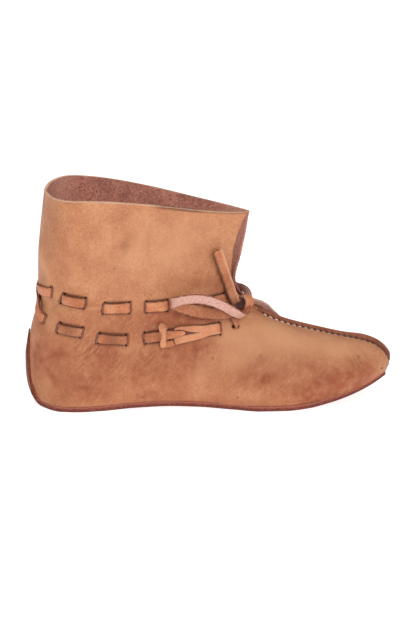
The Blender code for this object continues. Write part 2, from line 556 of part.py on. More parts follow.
def cut_slits(upper, material):
    """Cuts every slit through the upper with one joined set of blades, set square to the skin."""
    corners = np.array([(a, b, c) for a in (-0.5, 0.5) for b in (-0.5, 0.5) for c in (-0.5, 0.5)])
    box = np.array(((0, 1, 3, 2), (4, 6, 7, 5), (0, 4, 5, 1), (2, 3, 7, 6), (0, 2, 6, 4), (1, 5, 7, 3)))
    blades, faces = [], []
    for side in (-1.0, 1.0):
        for run in ((HIGH_BACK,) + HIGH_RUN, (LOW_BACK,) + LOW_RUN):
            run = np.array(run) * STRETCH[[0, 2]]
            leg = np.diff(run, axis=0)
            leg /= np.linalg.norm(leg, axis=1)[:, None]
            places, turn = run[1:-1], 0.5 * NUDGE * (leg[:-1] + leg[1:])
            last = len(blades) + len(places) - 1
            points, normals = on_quarter(places, side)
            way = on_quarter(places + turn, side)[0] - on_quarter(places - turn, side)[0]
            up = np.cross(normals, way)
            up /= np.linalg.norm(up, axis=1)[:, None]
            way = np.cross(up, normals)
            for p, w, u, n in zip(points, way, up, normals):
                share = END_SLIT_SHARE if len(blades) == last else 1.0
                frame = np.stack((w * share * SLIT_WIDTH, u * share * SLIT_HEIGHT, n * SLIT_DEPTH))
                faces.append(box + 8 * len(blades))
                blades.append(p - 0.5 * WALL * n + corners @ frame)
    cutter = add_object("slit_blades", np.concatenate(blades), np.concatenate(faces), material)
    cutter.hide_render = True
    cutter.display_type = 'WIRE'
    cut = upper.modifiers.new("slits", 'BOOLEAN')
    cut.operation = 'DIFFERENCE'
    cut.solver = 'EXACT'
    cut.object = cutter


def main():
    """Builds every piece of the shoe."""
    clear_scene()
    tan = leather("upper_leather", (0.62, 0.29, 0.14), 0.6)
    red_brown = leather("sole_leather", (0.36, 0.13, 0.09), 0.65)
    strap = leather("thong_leather", (0.58, 0.25, 0.12), 0.6)
    upper = make_upper(tan)
    cut_slits(upper, tan)
    make_sole(red_brown)
    make_thong("thong_over", LOW_RUN, HIGH_RUN, -1.0, CROSS_OVER, CLIMB_OVER, strap)
    make_thong("thong_under", HIGH_RUN, LOW_RUN, -1.0, CROSS_UNDER, CLIMB_UNDER, strap)
    make_join(strap)
    make_bow(strap)


main()
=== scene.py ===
"""Looks of the turnshoe: fine skins, sole, woven thong, slit join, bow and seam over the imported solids.

Sizes are in millimetres, in the frame that the shoe's tables are drawn in, until a mesh is made.
X runs from heel to toe, the inner side of the foot is -Y and faces the camera, Z is up.
"""

import bpy
import numpy as np
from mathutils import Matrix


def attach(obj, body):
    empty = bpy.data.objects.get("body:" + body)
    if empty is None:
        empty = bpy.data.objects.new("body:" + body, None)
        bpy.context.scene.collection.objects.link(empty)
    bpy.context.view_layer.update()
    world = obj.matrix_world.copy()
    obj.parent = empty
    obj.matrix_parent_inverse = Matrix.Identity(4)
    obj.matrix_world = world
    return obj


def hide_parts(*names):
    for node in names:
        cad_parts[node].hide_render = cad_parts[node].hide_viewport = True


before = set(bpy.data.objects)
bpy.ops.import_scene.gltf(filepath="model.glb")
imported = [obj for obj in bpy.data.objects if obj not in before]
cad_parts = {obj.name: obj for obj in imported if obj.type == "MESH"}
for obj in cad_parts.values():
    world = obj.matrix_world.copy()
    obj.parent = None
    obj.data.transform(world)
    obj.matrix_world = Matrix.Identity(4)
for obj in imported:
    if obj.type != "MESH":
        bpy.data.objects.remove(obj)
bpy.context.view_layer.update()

MM = 0.001

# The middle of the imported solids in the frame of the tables
CENTRE = np.array((0.77, 0.24, 0.0))

# The two sides of the foot: the inner one faces the camera
NEAR = -1.0
FAR = 1.0

# Camera: it looks at AIM from this far, this high and this far round
AIM = np.array((0.03, -0.24, 68.7))
CAMERA_AWAY = 2200.0
CAMERA_RISE = np.radians(16.0)
CAMERA_ROUND = np.radians(-4.0)
PICTURE_HEIGHT = 488.6
SENSOR = 36.0

# Lamps in metres: name, place, size and power. They all face one spot
LAMPS = (
    ("key", (0.3, -1.4, 1.1), 1.2, 10.3),
    ("fill", (1.1, -1.2, 0.6), 1.0, 2.7),
    ("back", (-1.4, -0.5, 0.7), 1.0, 1.7),
    ("top", (-0.2, 0.5, 1.6), 1.2, 6.0),
)
LAMP_AIM = (0.0, 0.0, 0.06)
WORLD_LIGHT = 0.37
FLOOR_HALF = 6.0

# Sections of the last, from the toe's tip to the collar. Each has the ends of its middle line in side view,
# how far that line bows, its middle across, its half widths and where along it they are, the power of its
# crown, the half widths of its flat, the cut beside the riser, the share that wraps up the heel, and the gaps
# in front
COLUMNS = ("top_x", "top_z", "low_x", "low_z", "bow", "mid_y", "wide_in", "wide_out", "wide_at", "crown",
           "flat_in", "flat_out", "cut", "wrap", "gap_in", "gap_out")
SECTIONS = (
    (142.4, 24.0, 139.0, 20.8, 0.0, -5.0, 6.0, 6.0, 0.35, 2.0, 5.0, 5.0, 0.0, 0.0, 0.0, 0.0),
    (144.4, 27.5, 134.0, 18.5, 0.0, -5.0, 10.5, 10.0, 0.35, 1.9, 9.0, 8.5, 0.0, 0.0, 0.0, 0.0),
    (143.7, 32.0, 127.0, 15.8, 0.0, -5.0, 16.0, 14.5, 0.34, 1.9, 14.0, 12.5, 0.0, 0.0, 0.0, 0.0),
    (140.4, 37.4, 118.0, 13.1, 0.0, -4.8, 22.0, 20.0, 0.33, 1.85, 19.5, 17.5, 0.0, 0.0, 0.0, 0.0),
    (133.6, 43.0, 106.0, 10.3, 0.0, -4.4, 28.5, 27.0, 0.31, 1.8, 25.5, 24.0, 0.0, 0.0, 0.0, 0.0),
    (122.0, 47.6, 92.0, 7.8, 0.0, -3.8, 34.5, 34.0, 0.29, 1.75, 31.5, 31.0, 0.0, 0.0, 0.0, 0.0),
    (104.3, 51.2, 76.0, 5.4, 0.0, -3.0, 40.0, 40.5, 0.27, 1.7, 37.0, 37.5, 0.0, 0.0, 0.0, 0.0),
    (84.4, 55.8, 58.0, 4.3, 0.0, -2.0, 43.5, 45.0, 0.25, 1.7, 40.5, 42.0, 0.0, 0.0, 0.0, 0.0),
    (62.6, 61.5, 38.0, 4.3, 0.0, -1.0, 44.5, 47.0, 0.25, 1.7, 41.5, 44.0, 0.0, 0.0, 0.0, 0.0),
    (43.6, 69.8, 16.0, 4.7, 0.0, 0.0, 41.5, 45.5, 0.28, 1.7, 37.0, 41.0, 0.0, 0.0, 0.0, 0.0),
    (33.0, 79.0, -8.0, 5.5, 0.0, 0.0, 38.5, 42.0, 0.32, 1.7, 31.5, 36.0, 0.0, 0.0, 5.0, 4.0),
    (26.0, 88.0, -34.0, 6.0, 0.0, 0.0, 37.0, 38.5, 0.35, 1.7, 29.5, 32.5, 0.0, 0.0, 9.0, 5.0),
    (23.2, 95.5, -60.0, 5.4, 0.0, 0.0, 37.0, 37.5, 0.36, 1.7, 30.5, 31.0, 0.0, 0.0, 11.0, 4.0),
    (23.8, 101.0, -85.0, 4.3, 0.0, 0.0, 37.0, 37.0, 0.35, 1.65, 33.5, 31.5, 0.0, 0.0, 12.3, 3.0),
    (24.4, 104.0, -100.0, 4.3, 0.0, 0.0, 37.0, 37.0, 0.34, 1.65, 35.5, 32.0, 0.0, 0.0, 13.4, 2.5),
    (25.2, 107.5, -116.0, 4.3, 0.0, 0.0, 37.0, 37.0, 0.33, 1.6, 33.2, 29.5, 0.0, 0.0, 13.8, 2.0),
    (26.0, 110.5, -128.6, 5.0, 0.0, 0.0, 37.0, 37.0, 0.33, 1.6, 22.0, 21.0, 0.0, 0.1, 14.0, 1.5),
    (26.5, 113.0, -135.2, 9.6, 0.0, 0.0, 37.0, 37.0, 0.33, 1.6, 13.5, 11.0, 11.5, 0.6, 14.2, 1.5),
    (27.0, 115.0, -138.8, 15.5, 0.0, 0.0, 37.0, 37.0, 0.33, 1.55, 3.0, 3.0, 9.0, 1.0, 14.2, 1.0),
    (27.6, 118.0, -139.9, 26.0, 0.0, 0.0, 37.0, 37.0, 0.33, 1.55, 0.0, 0.0, 7.0, 1.0, 14.2, 1.0),
    (28.2, 121.0, -140.0, 38.0, 0.0, 0.0, 37.0, 37.0, 0.32, 1.55, 0.0, 0.0, 4.5, 1.0, 14.3, 1.0),
    (28.9, 124.0, -138.9, 48.0, 0.0, 0.0, 37.0, 37.0, 0.31, 1.5, 0.0, 0.0, 2.0, 1.0, 14.3, 1.0),
    (29.4, 126.5, -138.5, 55.0, 0.0, 0.0, 37.0, 37.0, 0.30, 1.5, 0.0, 0.0, 0.0, 1.0, 14.2, 1.0),
    (30.2, 130.0, -135.5, 68.0, 0.0, 0.0, 37.5, 37.5, 0.28, 1.45, 0.0, 0.0, 0.0, 1.0, 13.2, 1.0),
    (30.8, 133.0, -129.3, 82.0, 0.0, 0.0, 38.0, 38.0, 0.25, 1.45, 0.0, 0.0, 0.0, 1.0, 12.3, 1.0),
    (31.4, 136.5, -131.7, 98.0, 0.0, 0.0, 39.0, 39.0, 0.22, 1.4, 0.0, 0.0, 0.0, 1.0, 10.5, 1.0),
    (32.0, 140.5, -131.2, 117.0, 1.0, 0.0, 40.5, 40.5, 0.19, 1.4, 0.0, 0.0, 0.0, 1.0, 8.6, 1.0),
    (32.8, 145.0, -129.0, 141.0, 2.8, 0.0, 42.5, 42.5, 0.16, 1.35, 0.0, 0.0, 0.0, 1.0, 6.1, 1.0),
    (33.8, 149.6, -126.0, 169.0, 5.0, 0.0, 44.5, 44.5, 0.15, 1.35, 0.0, 0.0, 0.0, 1.0, 2.5, 1.0),
)
TABLE = np.array(SECTIONS)
THROAT_ROW = 9
RISER_TIP_ROW = 22
LAST_ROW = len(SECTIONS) - 1

# The upper: its wall, a factor that makes a section's bow its real height, how far beside the middle line its
# sides blend, where the collar starts and how long it is, and how far its cut leans on the inside and outside
WALL = 2.0
BOW_PEAK = 27.0 / 4.0
MIDDLE_BLEND = 12.0
COLLAR_BACK = -127.0
COLLAR_LENGTH = 160.0
COLLAR_LEAN_IN = 0.3
COLLAR_LEAN_OUT = 0.35

# The upper's lip along the sole: how far out and down it goes at the toe, how much that changes behind, its
# half height, and how far it stands out beside the riser
LIP_OUT = 1.3
LIP_OUT_BEHIND = -0.8
LIP_DOWN = 0.2
LIP_DOWN_BEHIND = 0.6
LIP_HALF = 3.0
RISER_LIP = 0.5

# How finely the skin is worked out: points along a section, rows to look a place up in, rows to spread the
# rings in and the weight of a row there, small steps for slopes, and the angle from which an edge is sharp
DENSE = 90
FINE_ROWS = 1600
ZONE_STEPS = 1200
ROW_WEIGHT = 5.0
NUDGE = 0.4
TURN_NUDGE = 0.02
SHARP_ANGLE = np.radians(50.0)

# Rings in the zones toe, quarter and shaft, lines from the sole to the top, and the last lines below the top
SKIN_RINGS = (110, 118, 78)
SKIN_LINES = 104
LINING_RINGS = (36, 44, 34)
LINING_LINES = 34
CLOSE_LINES = np.array((8.0, 6.8, 5.7, 4.8, 4.0, 3.3, 2.7, 2.1, 1.6, 1.1, 0.7, 0.35, 0.0))

# The vamp seam: the pitch of its stitches, how deep it sinks and how wide on each side, its groove, and its
# lips as a height, a place beside the seam and a half width. From an x on, over a way, the far lip's height
# changes
STITCH_PITCH = 4.8
SEAM_SINK = 2.8
NEAR_SINK_WIDTH = 9.0
FAR_SINK_WIDTH = 2.0
SEAM_GROOVE = 0.6
NEAR_LIP = (0.5, 3.0, 1.3)
FAR_LIP = (0.9, 3.2, 1.8)
FAR_LIP_CHANGES = ((-0.3, 60.0, 40.0), (1.4, 104.0, 24.0))

# Along the seam: how far from its ends the stitches are; half a scallop's length, its place beside the seam,
# its height and radius at its ends and what its middle has more; a stitch's lean along the seam, where it
# starts beside it, its way across, how deep it starts, its arch, its climb to the far side, and its radius
SEAM_START = 22.2
SEAM_END = 1.5
SCALLOP_HALF = 1.4
SCALLOP_BESIDE = 1.7
SCALLOP_HEIGHT = 0.1
SCALLOP_RISE = 0.2
SCALLOP_RADIUS = 0.15
SCALLOP_SWELL = 0.65
STITCH_LEAN = 1.5
STITCH_BESIDE = 2.8
STITCH_ACROSS = 4.6
STITCH_SINK = 0.5
STITCH_ARCH = 1.2
STITCH_CLIMB = 1.6
STITCH_RADIUS = 0.36

# The sole: its rings, its lines from edge to middle, its thickness under the foot and up the heel, and the
# share of it at the toe, at the toe's last rings and, from a row on, over some rows, at the riser's tip
SOLE_RINGS = (90, 130, 2)
SOLE_SHARES = np.linspace(1.0, 0.0, 7)
SOLE_THICK = 4.0
RISER_THICK = 1.9
TOE_SLIM = 0.68
TIP_SLIM = 0.3
RISER_TIP_SLIM = (1.0, -0.4, 20.9, 1.4)

# How far the sole goes out past its flat and past the cut up the heel, and how far it lies off the upper: an
# amount, and a change that starts at a row and is done after so many rows. The riser lies so much further
# off, and past its tip its rim and edge are so far out
SOLE_OUT = (1.3, -0.9, 7.5, 2.0)
RISER_OUT = (0.8, 1.4, 18.5, 1.5)
SOLE_BELOW = (0.3, -0.4, 19.5, 2.0)
RISER_BELOW = 0.3
TIP_RIM = 0.8
TIP_EDGE = 0.4

# The rings that round the sole's toe: how far on each is, in millimetres, and its share of the width
SOLE_TIPS = ((1.0, 0.5), (0.85, 0.7), (0.55, 0.87))

# The sole's cut edge, from top to bottom: the share of the thickness, and how far it bulges
SOLE_LEVELS = ((0.0, 0.0), (0.12, 0.3), (0.3, 0.45), (0.42, 0.1), (0.5, 0.05), (0.62, 0.3), (0.85, 0.15),
               (1.0, -0.25))

# The thong's slits on each side as x and z, and the places that it comes from behind the first ones
HIGH_RUN = ((-122.0, 94.5), (-113.8, 90.5), (-96.5, 88.0), (-82.0, 83.5), (-61.7, 83.0), (-49.2, 82.8),
            (-32.3, 83.0), (-8.0, 82.5), (13.7, 84.3), (19.5, 86.5))
LOW_RUN = ((-127.6, 71.6), (-117.0, 67.0), (-98.9, 64.5), (-86.6, 59.7), (-64.4, 57.5), (-50.5, 58.3),
           (8.2, 63.6), (20.8, 64.2), (21.6, 71.5))
HIGH_BACK = (-131.0, 90.5)
LOW_BACK = (-137.0, 74.5)

# The thong: its size, how high it rides over the skin outside and inside, its bulge between two slits, the
# step along it, and the way in which it dives through a slit
THONG_WIDTH = 8.0
THONG_THICK = 1.8
RIDE_OUT = 1.3
RIDE_IN = -3.7
RUN_BULGE = 0.4
RUN_STEP = 1.2
DIVE = 1.7

# Round the heel: how high it rides, the lift of the upper length, between which shares of the way each length
# climbs, where the way starts, its steps, and how much narrower the near low end is
BACK_RIDE = 0.9
CROSS_LIFT = 1.7
CLIMB_OVER = (-0.4, 1.0)
CLIMB_UNDER = (0.45, 1.0)
BACK_START = 0.03
BACK_STEPS = 48
HEEL_NARROW = 0.25

# The thong's width: waves as a share, radians a step and a start; its share between two x past the join; the
# share left behind an x, over a way; the share lost ahead of one, below a height; where the heel's end starts
# and the height below which it is, with the ways over which it narrows
WIDTH_WAVES = ((0.02, 0.31, 0.0), (0.015, 0.83, 1.0))
PAST_JOIN = (-8.0, 12.0, 1.06)
BEHIND_JOIN = (-60.0, 8.0, 0.9)
FRONT_END = (10.0, 8.0, 0.6)
FRONT_END_TOP = 76.0
HEEL_END = (-120.0, 4.0)
HEEL_TOP = (84.0, 6.0)

# Under the join the low run sinks: below this height, from an x over a way and up to an x over a way, so
# deep, so much narrower and so much darker, as painted shade under the join. The shade of the far side, and
# the least and most of a strap
LOW_TOP = 72.0
SUNK_FROM = (-33.0, 3.0)
SUNK_TO = (-7.0, 5.0)
SUNK_DEPTH = 1.2
SUNK_NARROW = 0.35
SUNK_SHADE = 0.5
FAR_SHADE = 0.1
SHADE_LIMITS = (-0.4, 0.8)

# The bed under a strap: its depth, half width and how steeply it ends, and the painted shadows along its
# edges as soft lines
RUN_TROUGH = 0.9
RUN_TROUGH_WIDTH = 6.0
RUN_TROUGH_ENDS = 8.0
BED_EDGE_SHADOWS = ((0.9, 4.3, 0.9), (0.75, -4.2, 0.9))

# The slits: how deep and wide the skin is drawn in, half their lengths, and how far past them that fades
SLIT_DEPTH = 2.7
SLIT_WIDTH = 1.2
SLIT_HALF = 4.7
SHORT_HALF = 3.6
HOLE_HALF = 2.2
SLIT_FADE = 0.7

# The two lengths of the thong: name, near and far slits, the lift where they cross, and the shares of the
# way round the heel between which each climbs
THONGS = (
    ("thong_over", LOW_RUN, HIGH_RUN, CROSS_LIFT, CLIMB_OVER),
    ("thong_under", HIGH_RUN, LOW_RUN, 0.0, CLIMB_UNDER),
)

# The thong's section: shares of its width and thickness, and the material after each, which is 0 for grain,
# 1 for flesh and 2 for a cut edge
BAND_PROFILE = ((-0.5, 0.0), (-0.49, 0.34), (-0.44, 0.48), (-0.25, 0.52), (0.0, 0.54), (0.25, 0.52),
                (0.44, 0.48), (0.49, 0.34), (0.5, 0.0), (0.49, -0.34), (0.44, -0.48), (0.2, -0.48),
                (-0.2, -0.48), (-0.44, -0.48), (-0.49, -0.34))
BAND_KINDS = (2, 2, 0, 0, 0, 0, 2, 2, 2, 2, 1, 1, 1, 2, 2)
BAND_SWAPPED = {0: 1, 1: 0, 2: 2}
BAND_EDGE = 0.43

# The cut edge of a slit: how far it overlaps the slit's ends, the width of its lip where the strap lies ahead
# of the slit and where it lies behind, its steps across, places beside the cut, and their heights on the skin
SLIT_OVERLAP = 0.4
SLIT_LIP_AHEAD = 0.85
SLIT_LIP_BEHIND = 0.5
SLIT_STEPS = 19
SLIT_BESIDE = np.array((-1.8, -1.3, -0.8, -0.3, 0.1, 0.35, 0.7, 1.1, 1.5, 1.9))
SLIT_HEIGHT = np.array((-0.9, -0.8, -0.7, -0.5, -0.1, 0.4, 0.55, 0.45, 0.1, -0.7))

# Bands that lie on the inner side: rows of x, z, height over the skin and width
DRAWN_STRAP = ((21.1, 63.3, -1.6, 2.2), (20.9, 64.2, 0.3, 2.6), (20.5, 65.5, 1.3, 3.8),
               (20.0, 67.4, 1.6, 5.8), (19.7, 69.8, 1.8, 8.0), (20.0, 72.8, 2.6, 8.6))
DRAWN_SHADE = 0.3
JOIN_TAB = ((-39.0, 60.2, 2.6, 6.4), (-34.1, 60.3, 3.6, 6.6), (-29.0, 60.5, 4.0, 6.2),
            (-24.5, 61.0, 4.0, 5.2), (-21.3, 61.6, 3.8, 3.9), (-19.8, 61.9, 3.5, 2.6))
JOIN_END = ((-35.0, 53.2, 2.0, 4.6), (-31.5, 53.8, 2.5, 5.0), (-28.0, 54.6, 2.3, 4.8))
JOIN_TURN = ((-35.8, 68.2, 1.2, 6.0), (-36.6, 66.6, 3.4, 7.2), (-36.9, 64.6, 4.9, 6.0),
             (-36.3, 62.3, 5.6, 4.2), (-35.9, 60.2, 5.7, 3.5), (-36.1, 57.5, 5.4, 3.9),
             (-36.6, 54.4, 4.2, 4.9), (-36.2, 51.6, 1.4, 4.2))
JOIN_UPPER_LEG = ((-2.0, 64.4, 1.4, 4.2), (-6.5, 64.2, 1.75, 5.0), (-10.0, 64.1, 2.1, 5.4),
                  (-14.7, 64.3, 2.7, 4.8), (-20.2, 64.9, 3.2, 3.2), (-25.0, 64.9, 2.9, 2.2),
                  (-27.5, 63.8, 2.2, 1.8))
JOIN_LOWER_LEG = ((-2.0, 60.4, 1.4, 4.2), (-6.5, 59.5, 1.75, 5.0), (-10.0, 58.9, 2.1, 5.3),
                  (-14.8, 58.0, 3.0, 5.3), (-20.4, 57.0, 3.9, 5.6), (-25.0, 56.0, 4.2, 5.3),
                  (-27.4, 55.4, 3.9, 4.9))
SKIN_BAND_STEP = 0.7

# The pieces of the slit join: the rows, thickness and shade of each band
JOIN_BANDS = {
    "join_tab": ((JOIN_TAB, 1.7, -0.1), (JOIN_END, 1.6, 0.08)),
    "join_turn": ((JOIN_TURN, 1.6, -0.35), (JOIN_UPPER_LEG, 1.6, -0.25), (JOIN_LOWER_LEG, 1.7, -0.35)),
}

# The bow's bands have points so far apart
BAND_STEP = 1.1

# The knot: its place, how near it the bands stop, and the wrap round it, with the direction of its width and
# the half axes of its oval
KNOT_PLACE = np.array((31.5, -13.5, 81.5))
KNOT_CORE = 1.5
WRAP_SHIFT = np.array((-2.5, -0.6, -1.1))
WRAP_ACROSS = np.array((-0.75, -0.66, 0.1))
WRAP_UP = 4.7 * np.array((0.1, 0.0, 1.0))
WRAP_OUT = 4.2 * np.array((-0.66, 0.75, 0.0))
WRAP_WIDTH = 8.8
WRAP_SHADE = -0.2
WRAP_STEPS = 40

# The bands of the bow: rows of a place and the direction of the band's width there
BOW_BANDS = {
    "bow_loop_long": (
        (31.5, -13.5, 81.5, 0.2, 0.3, 1.0), (22.5, -23.5, 78.7, 0.1, 0.2, 1.0),
        (14.0, -28.5, 75.6, 0.1, 0.2, 1.0), (0.0, -31.0, 76.6, 0.1, 0.2, 1.0),
        (-13.0, -32.5, 79.6, 0.1, 0.1, 1.0), (-25.0, -35.3, 84.2, 0.1, 0.0, 1.0),
        (-29.0, -38.8, 87.2, 0.0, -0.2, 1.0), (-25.8, -42.6, 89.7, 0.0, -0.3, 1.0),
        (-12.0, -42.0, 91.5, 0.0, -0.3, 1.0), (2.0, -38.5, 88.0, 0.3, -0.3, 1.0),
        (13.0, -34.5, 81.5, 0.5, -0.3, 1.0), (20.5, -30.5, 76.0, 0.6, -0.3, 0.8),
        (26.3, -25.0, 72.6, 0.8, -0.3, 0.5), (29.8, -19.5, 75.6, 1.0, -0.3, 0.2),
        (31.5, -13.5, 81.5, 1.0, -0.4, 0.0)),
    "bow_loop_short": (
        (31.5, -13.5, 81.5, 0.2, -0.3, 1.0), (38.3, -5.0, 77.9, 0.3, -0.3, 0.8),
        (42.8, 1.0, 74.6, 0.2, -0.3, 0.8), (47.3, 5.6, 70.0, 0.2, -0.3, 0.8),
        (52.3, 10.2, 64.0, 0.3, -0.3, 0.8), (56.5, 15.0, 59.7, 0.3, -0.2, 0.8),
        (59.0, 19.5, 56.9, 0.3, 0.1, 0.9), (57.2, 23.0, 56.6, 0.2, 0.2, 0.9),
        (51.5, 20.5, 60.2, 0.1, 0.3, 1.0), (45.5, 14.0, 65.2, 0.1, 0.3, 1.0),
        (41.2, 5.6, 72.0, 0.1, 0.3, 1.0), (37.2, -3.0, 76.6, 0.1, 0.2, 1.0),
        (31.5, -13.5, 81.5, 0.1, 0.0, 1.0)),
    "bow_end_near": (
        (22.0, -23.6, 70.4, 0.9, 0.35, -0.1), (21.6, -21.4, 74.2, 0.9, 0.4, 0.0),
        (21.3, -19.0, 79.0, 0.85, 0.4, 0.1), (19.7, -18.0, 83.9, 0.85, 0.35, 0.2),
        (17.8, -17.2, 88.7, 0.88, 0.3, 0.25), (16.0, -16.6, 94.5, 0.9, 0.25, 0.3),
        (14.1, -16.6, 100.2, 0.9, 0.2, 0.3), (10.2, -18.8, 112.2, 0.92, 0.15, 0.3),
        (6.4, -20.8, 123.6, 0.92, 0.15, 0.3)),
    "bow_end_far": (
        (31.5, -13.5, 81.5, 0.6, -0.6, -0.1), (31.6, -10.6, 84.9, 0.6, -0.5, 0.3),
        (30.6, -5.0, 86.7, 0.4, -0.3, 0.8), (28.2, 1.5, 87.4, 0.1, -0.2, 0.95),
        (25.4, 7.5, 87.0, -0.3, -0.1, 0.9), (22.2, 12.8, 87.4, -0.4, -0.1, 0.85),
        (17.2, 17.2, 90.2, -0.45, -0.1, 0.85), (12.0, 20.0, 92.8, -0.35, -0.1, 0.9),
        (6.5, 21.8, 95.0, -0.3, -0.1, 0.95)),
}

# For each band of the bow: its length in metres, its far end, rows of a share along it, its width and its
# shade, whether the flesh side is on its face, and the shades of its two edges. Much of the shade is painted:
# shadow where the bands meet the knot, and shade inside the loops and along the near end's left edge
BOW_CORDS = {
    # Painted shadow where it leaves and meets the knot; its back leg inside the loop is darker, partly its
    # redder tone and partly painted shade
    "bow_loop_long": (
        0.150, "object",
        ((0.0, 6.0, 1.0), (0.085, 7.0, 1.0), (0.12, 8.5, 0.4), (0.3, 10.0, 0.29), (0.42, 8.6, 0.22),
         (0.465, 8.8, 0.0), (0.5, 8.6, 0.0), (0.55, 8.2, 0.0), (0.85, 7.6, 0.0), (0.93, 6.4, 0.1),
         (1.0, 3.6, 0.5)),
        True, (0.1, 0.0)),
    # Painted shade on its flesh side under the loop; its pale top edge is partly the cut edge's tone and
    # partly painted light
    "bow_loop_short": (
        0.103, "object",
        ((0.0, 4.4, 0.5), (0.12, 4.0, 0.4), (0.25, 5.4, 0.42), (0.36, 5.2, 0.42), (0.45, 3.2, 0.42),
         (0.52, 2.6, 0.4), (0.62, 4.4, 0.3), (0.8, 3.4, 0.2), (0.88, 2.5, 0.0), (1.0, 2.5, 0.0)),
        True, (0.0, -0.85)),
    # Its dark left edge is partly the cut edge and partly painted shadow, its pale right edge the cut edge's
    # tone
    "bow_end_near": (
        0.057, "bare",
        ((0.0, 8.0, 0.4), (0.3, 8.2, 0.25), (0.6, 8.0, 0.18), (1.0, 8.2, 0.1)),
        True, (0.55, -0.85)),
    "bow_end_far": (0.048, "bare", ((0.0, 5.6, 0.2), (1.0, 6.6, 0.2)), False, (0.0, 0.0)),
}

# How much darker the near straps are: x, z and share, each over an oval of these half sizes
STRAP_OVAL = (11.0, 5.0)
STRAP_SHADES = ((-105.0, 89.0, 0.22), (-72.0, 83.0, 0.1), (-41.0, 83.0, 0.03), (3.0, 83.0, 0.13),
                (-108.0, 66.0, 0.46), (-75.0, 58.5, 0.5), (-44.0, 58.8, 0.27), (3.0, 63.0, -0.35))

# Creases: side (-1 for the near one, 1 for the far one), x, z, direction in degrees from +X to +Z, half
# length, half width, height
CREASES = (
    (-1, -126.5, 118.0, 105.0, 18.0, 3.2, 1.0),
    (-1, -120.5, 117.0, 102.0, 15.0, 3.6, -0.8),
    (-1, -57.5, 137.0, 71.0, 21.0, 5.0, 0.9),
    (-1, -67.0, 132.0, 72.0, 17.0, 5.0, -1.0),
    (-1, -92.0, 142.0, 84.0, 20.0, 9.0, -0.7),
    (-1, -33.0, 134.0, 80.0, 18.0, 8.0, -0.7),
    (-1, -12.0, 128.0, 78.0, 17.0, 7.0, 0.6),
    (-1, -13.0, 37.0, 82.0, 17.0, 3.2, -0.8),
    (-1, -20.0, 36.0, 84.0, 15.0, 4.0, 0.5),
    (-1, -29.0, 46.0, 85.0, 7.0, 2.6, -0.5),
    (-1, 34.0, 30.0, 70.0, 16.0, 9.0, -0.8),
    (-1, 60.0, 38.0, 55.0, 16.0, 8.0, 0.6),
    (-1, 92.0, 32.0, 40.0, 12.0, 7.0, -0.6),
    (-1, 109.5, 37.0, -50.0, 6.0, 1.3, -0.35),
    (-1, 113.5, 34.5, -50.0, 7.0, 1.3, -0.4),
    (-1, 117.5, 31.5, -52.0, 6.5, 1.3, -0.4),
    (-1, 121.5, 28.5, -52.0, 5.0, 1.2, -0.3),
    (-1, -6.0, 98.0, -27.0, 7.0, 1.4, -0.45),
    (-1, 1.0, 95.5, -27.0, 7.5, 1.4, -0.45),
    (-1, 7.5, 93.0, -26.0, 6.5, 1.3, -0.4),
    (-1, -1.0, 91.5, -24.0, 6.5, 1.3, -0.35),
    (-1, 13.0, 91.5, -26.0, 5.0, 1.3, -0.35),
    (-1, -104.0, 77.0, 84.0, 9.0, 3.0, 0.5),
    (-1, -74.0, 71.0, 88.0, 9.0, 3.5, 0.5),
    (-1, -57.0, 71.0, 92.0, 9.0, 3.0, -0.5),
    (-1, -92.0, 74.0, 80.0, 9.0, 3.0, -0.5),
    (-1, -120.0, 30.0, 70.0, 10.0, 5.0, -0.5),
    (1, -60.0, 132.0, 75.0, 20.0, 6.0, -0.9),
    (1, -90.0, 140.0, 95.0, 18.0, 7.0, 0.7),
    (1, -25.0, 130.0, 80.0, 18.0, 7.0, -0.8),
    (1, -15.0, 38.0, 80.0, 16.0, 4.0, -0.8),
    (1, 38.0, 32.0, 65.0, 16.0, 9.0, -0.9),
    (1, 75.0, 34.0, 45.0, 14.0, 7.0, 0.6),
    (1, -80.0, 72.0, 85.0, 9.0, 3.5, -0.5),
)
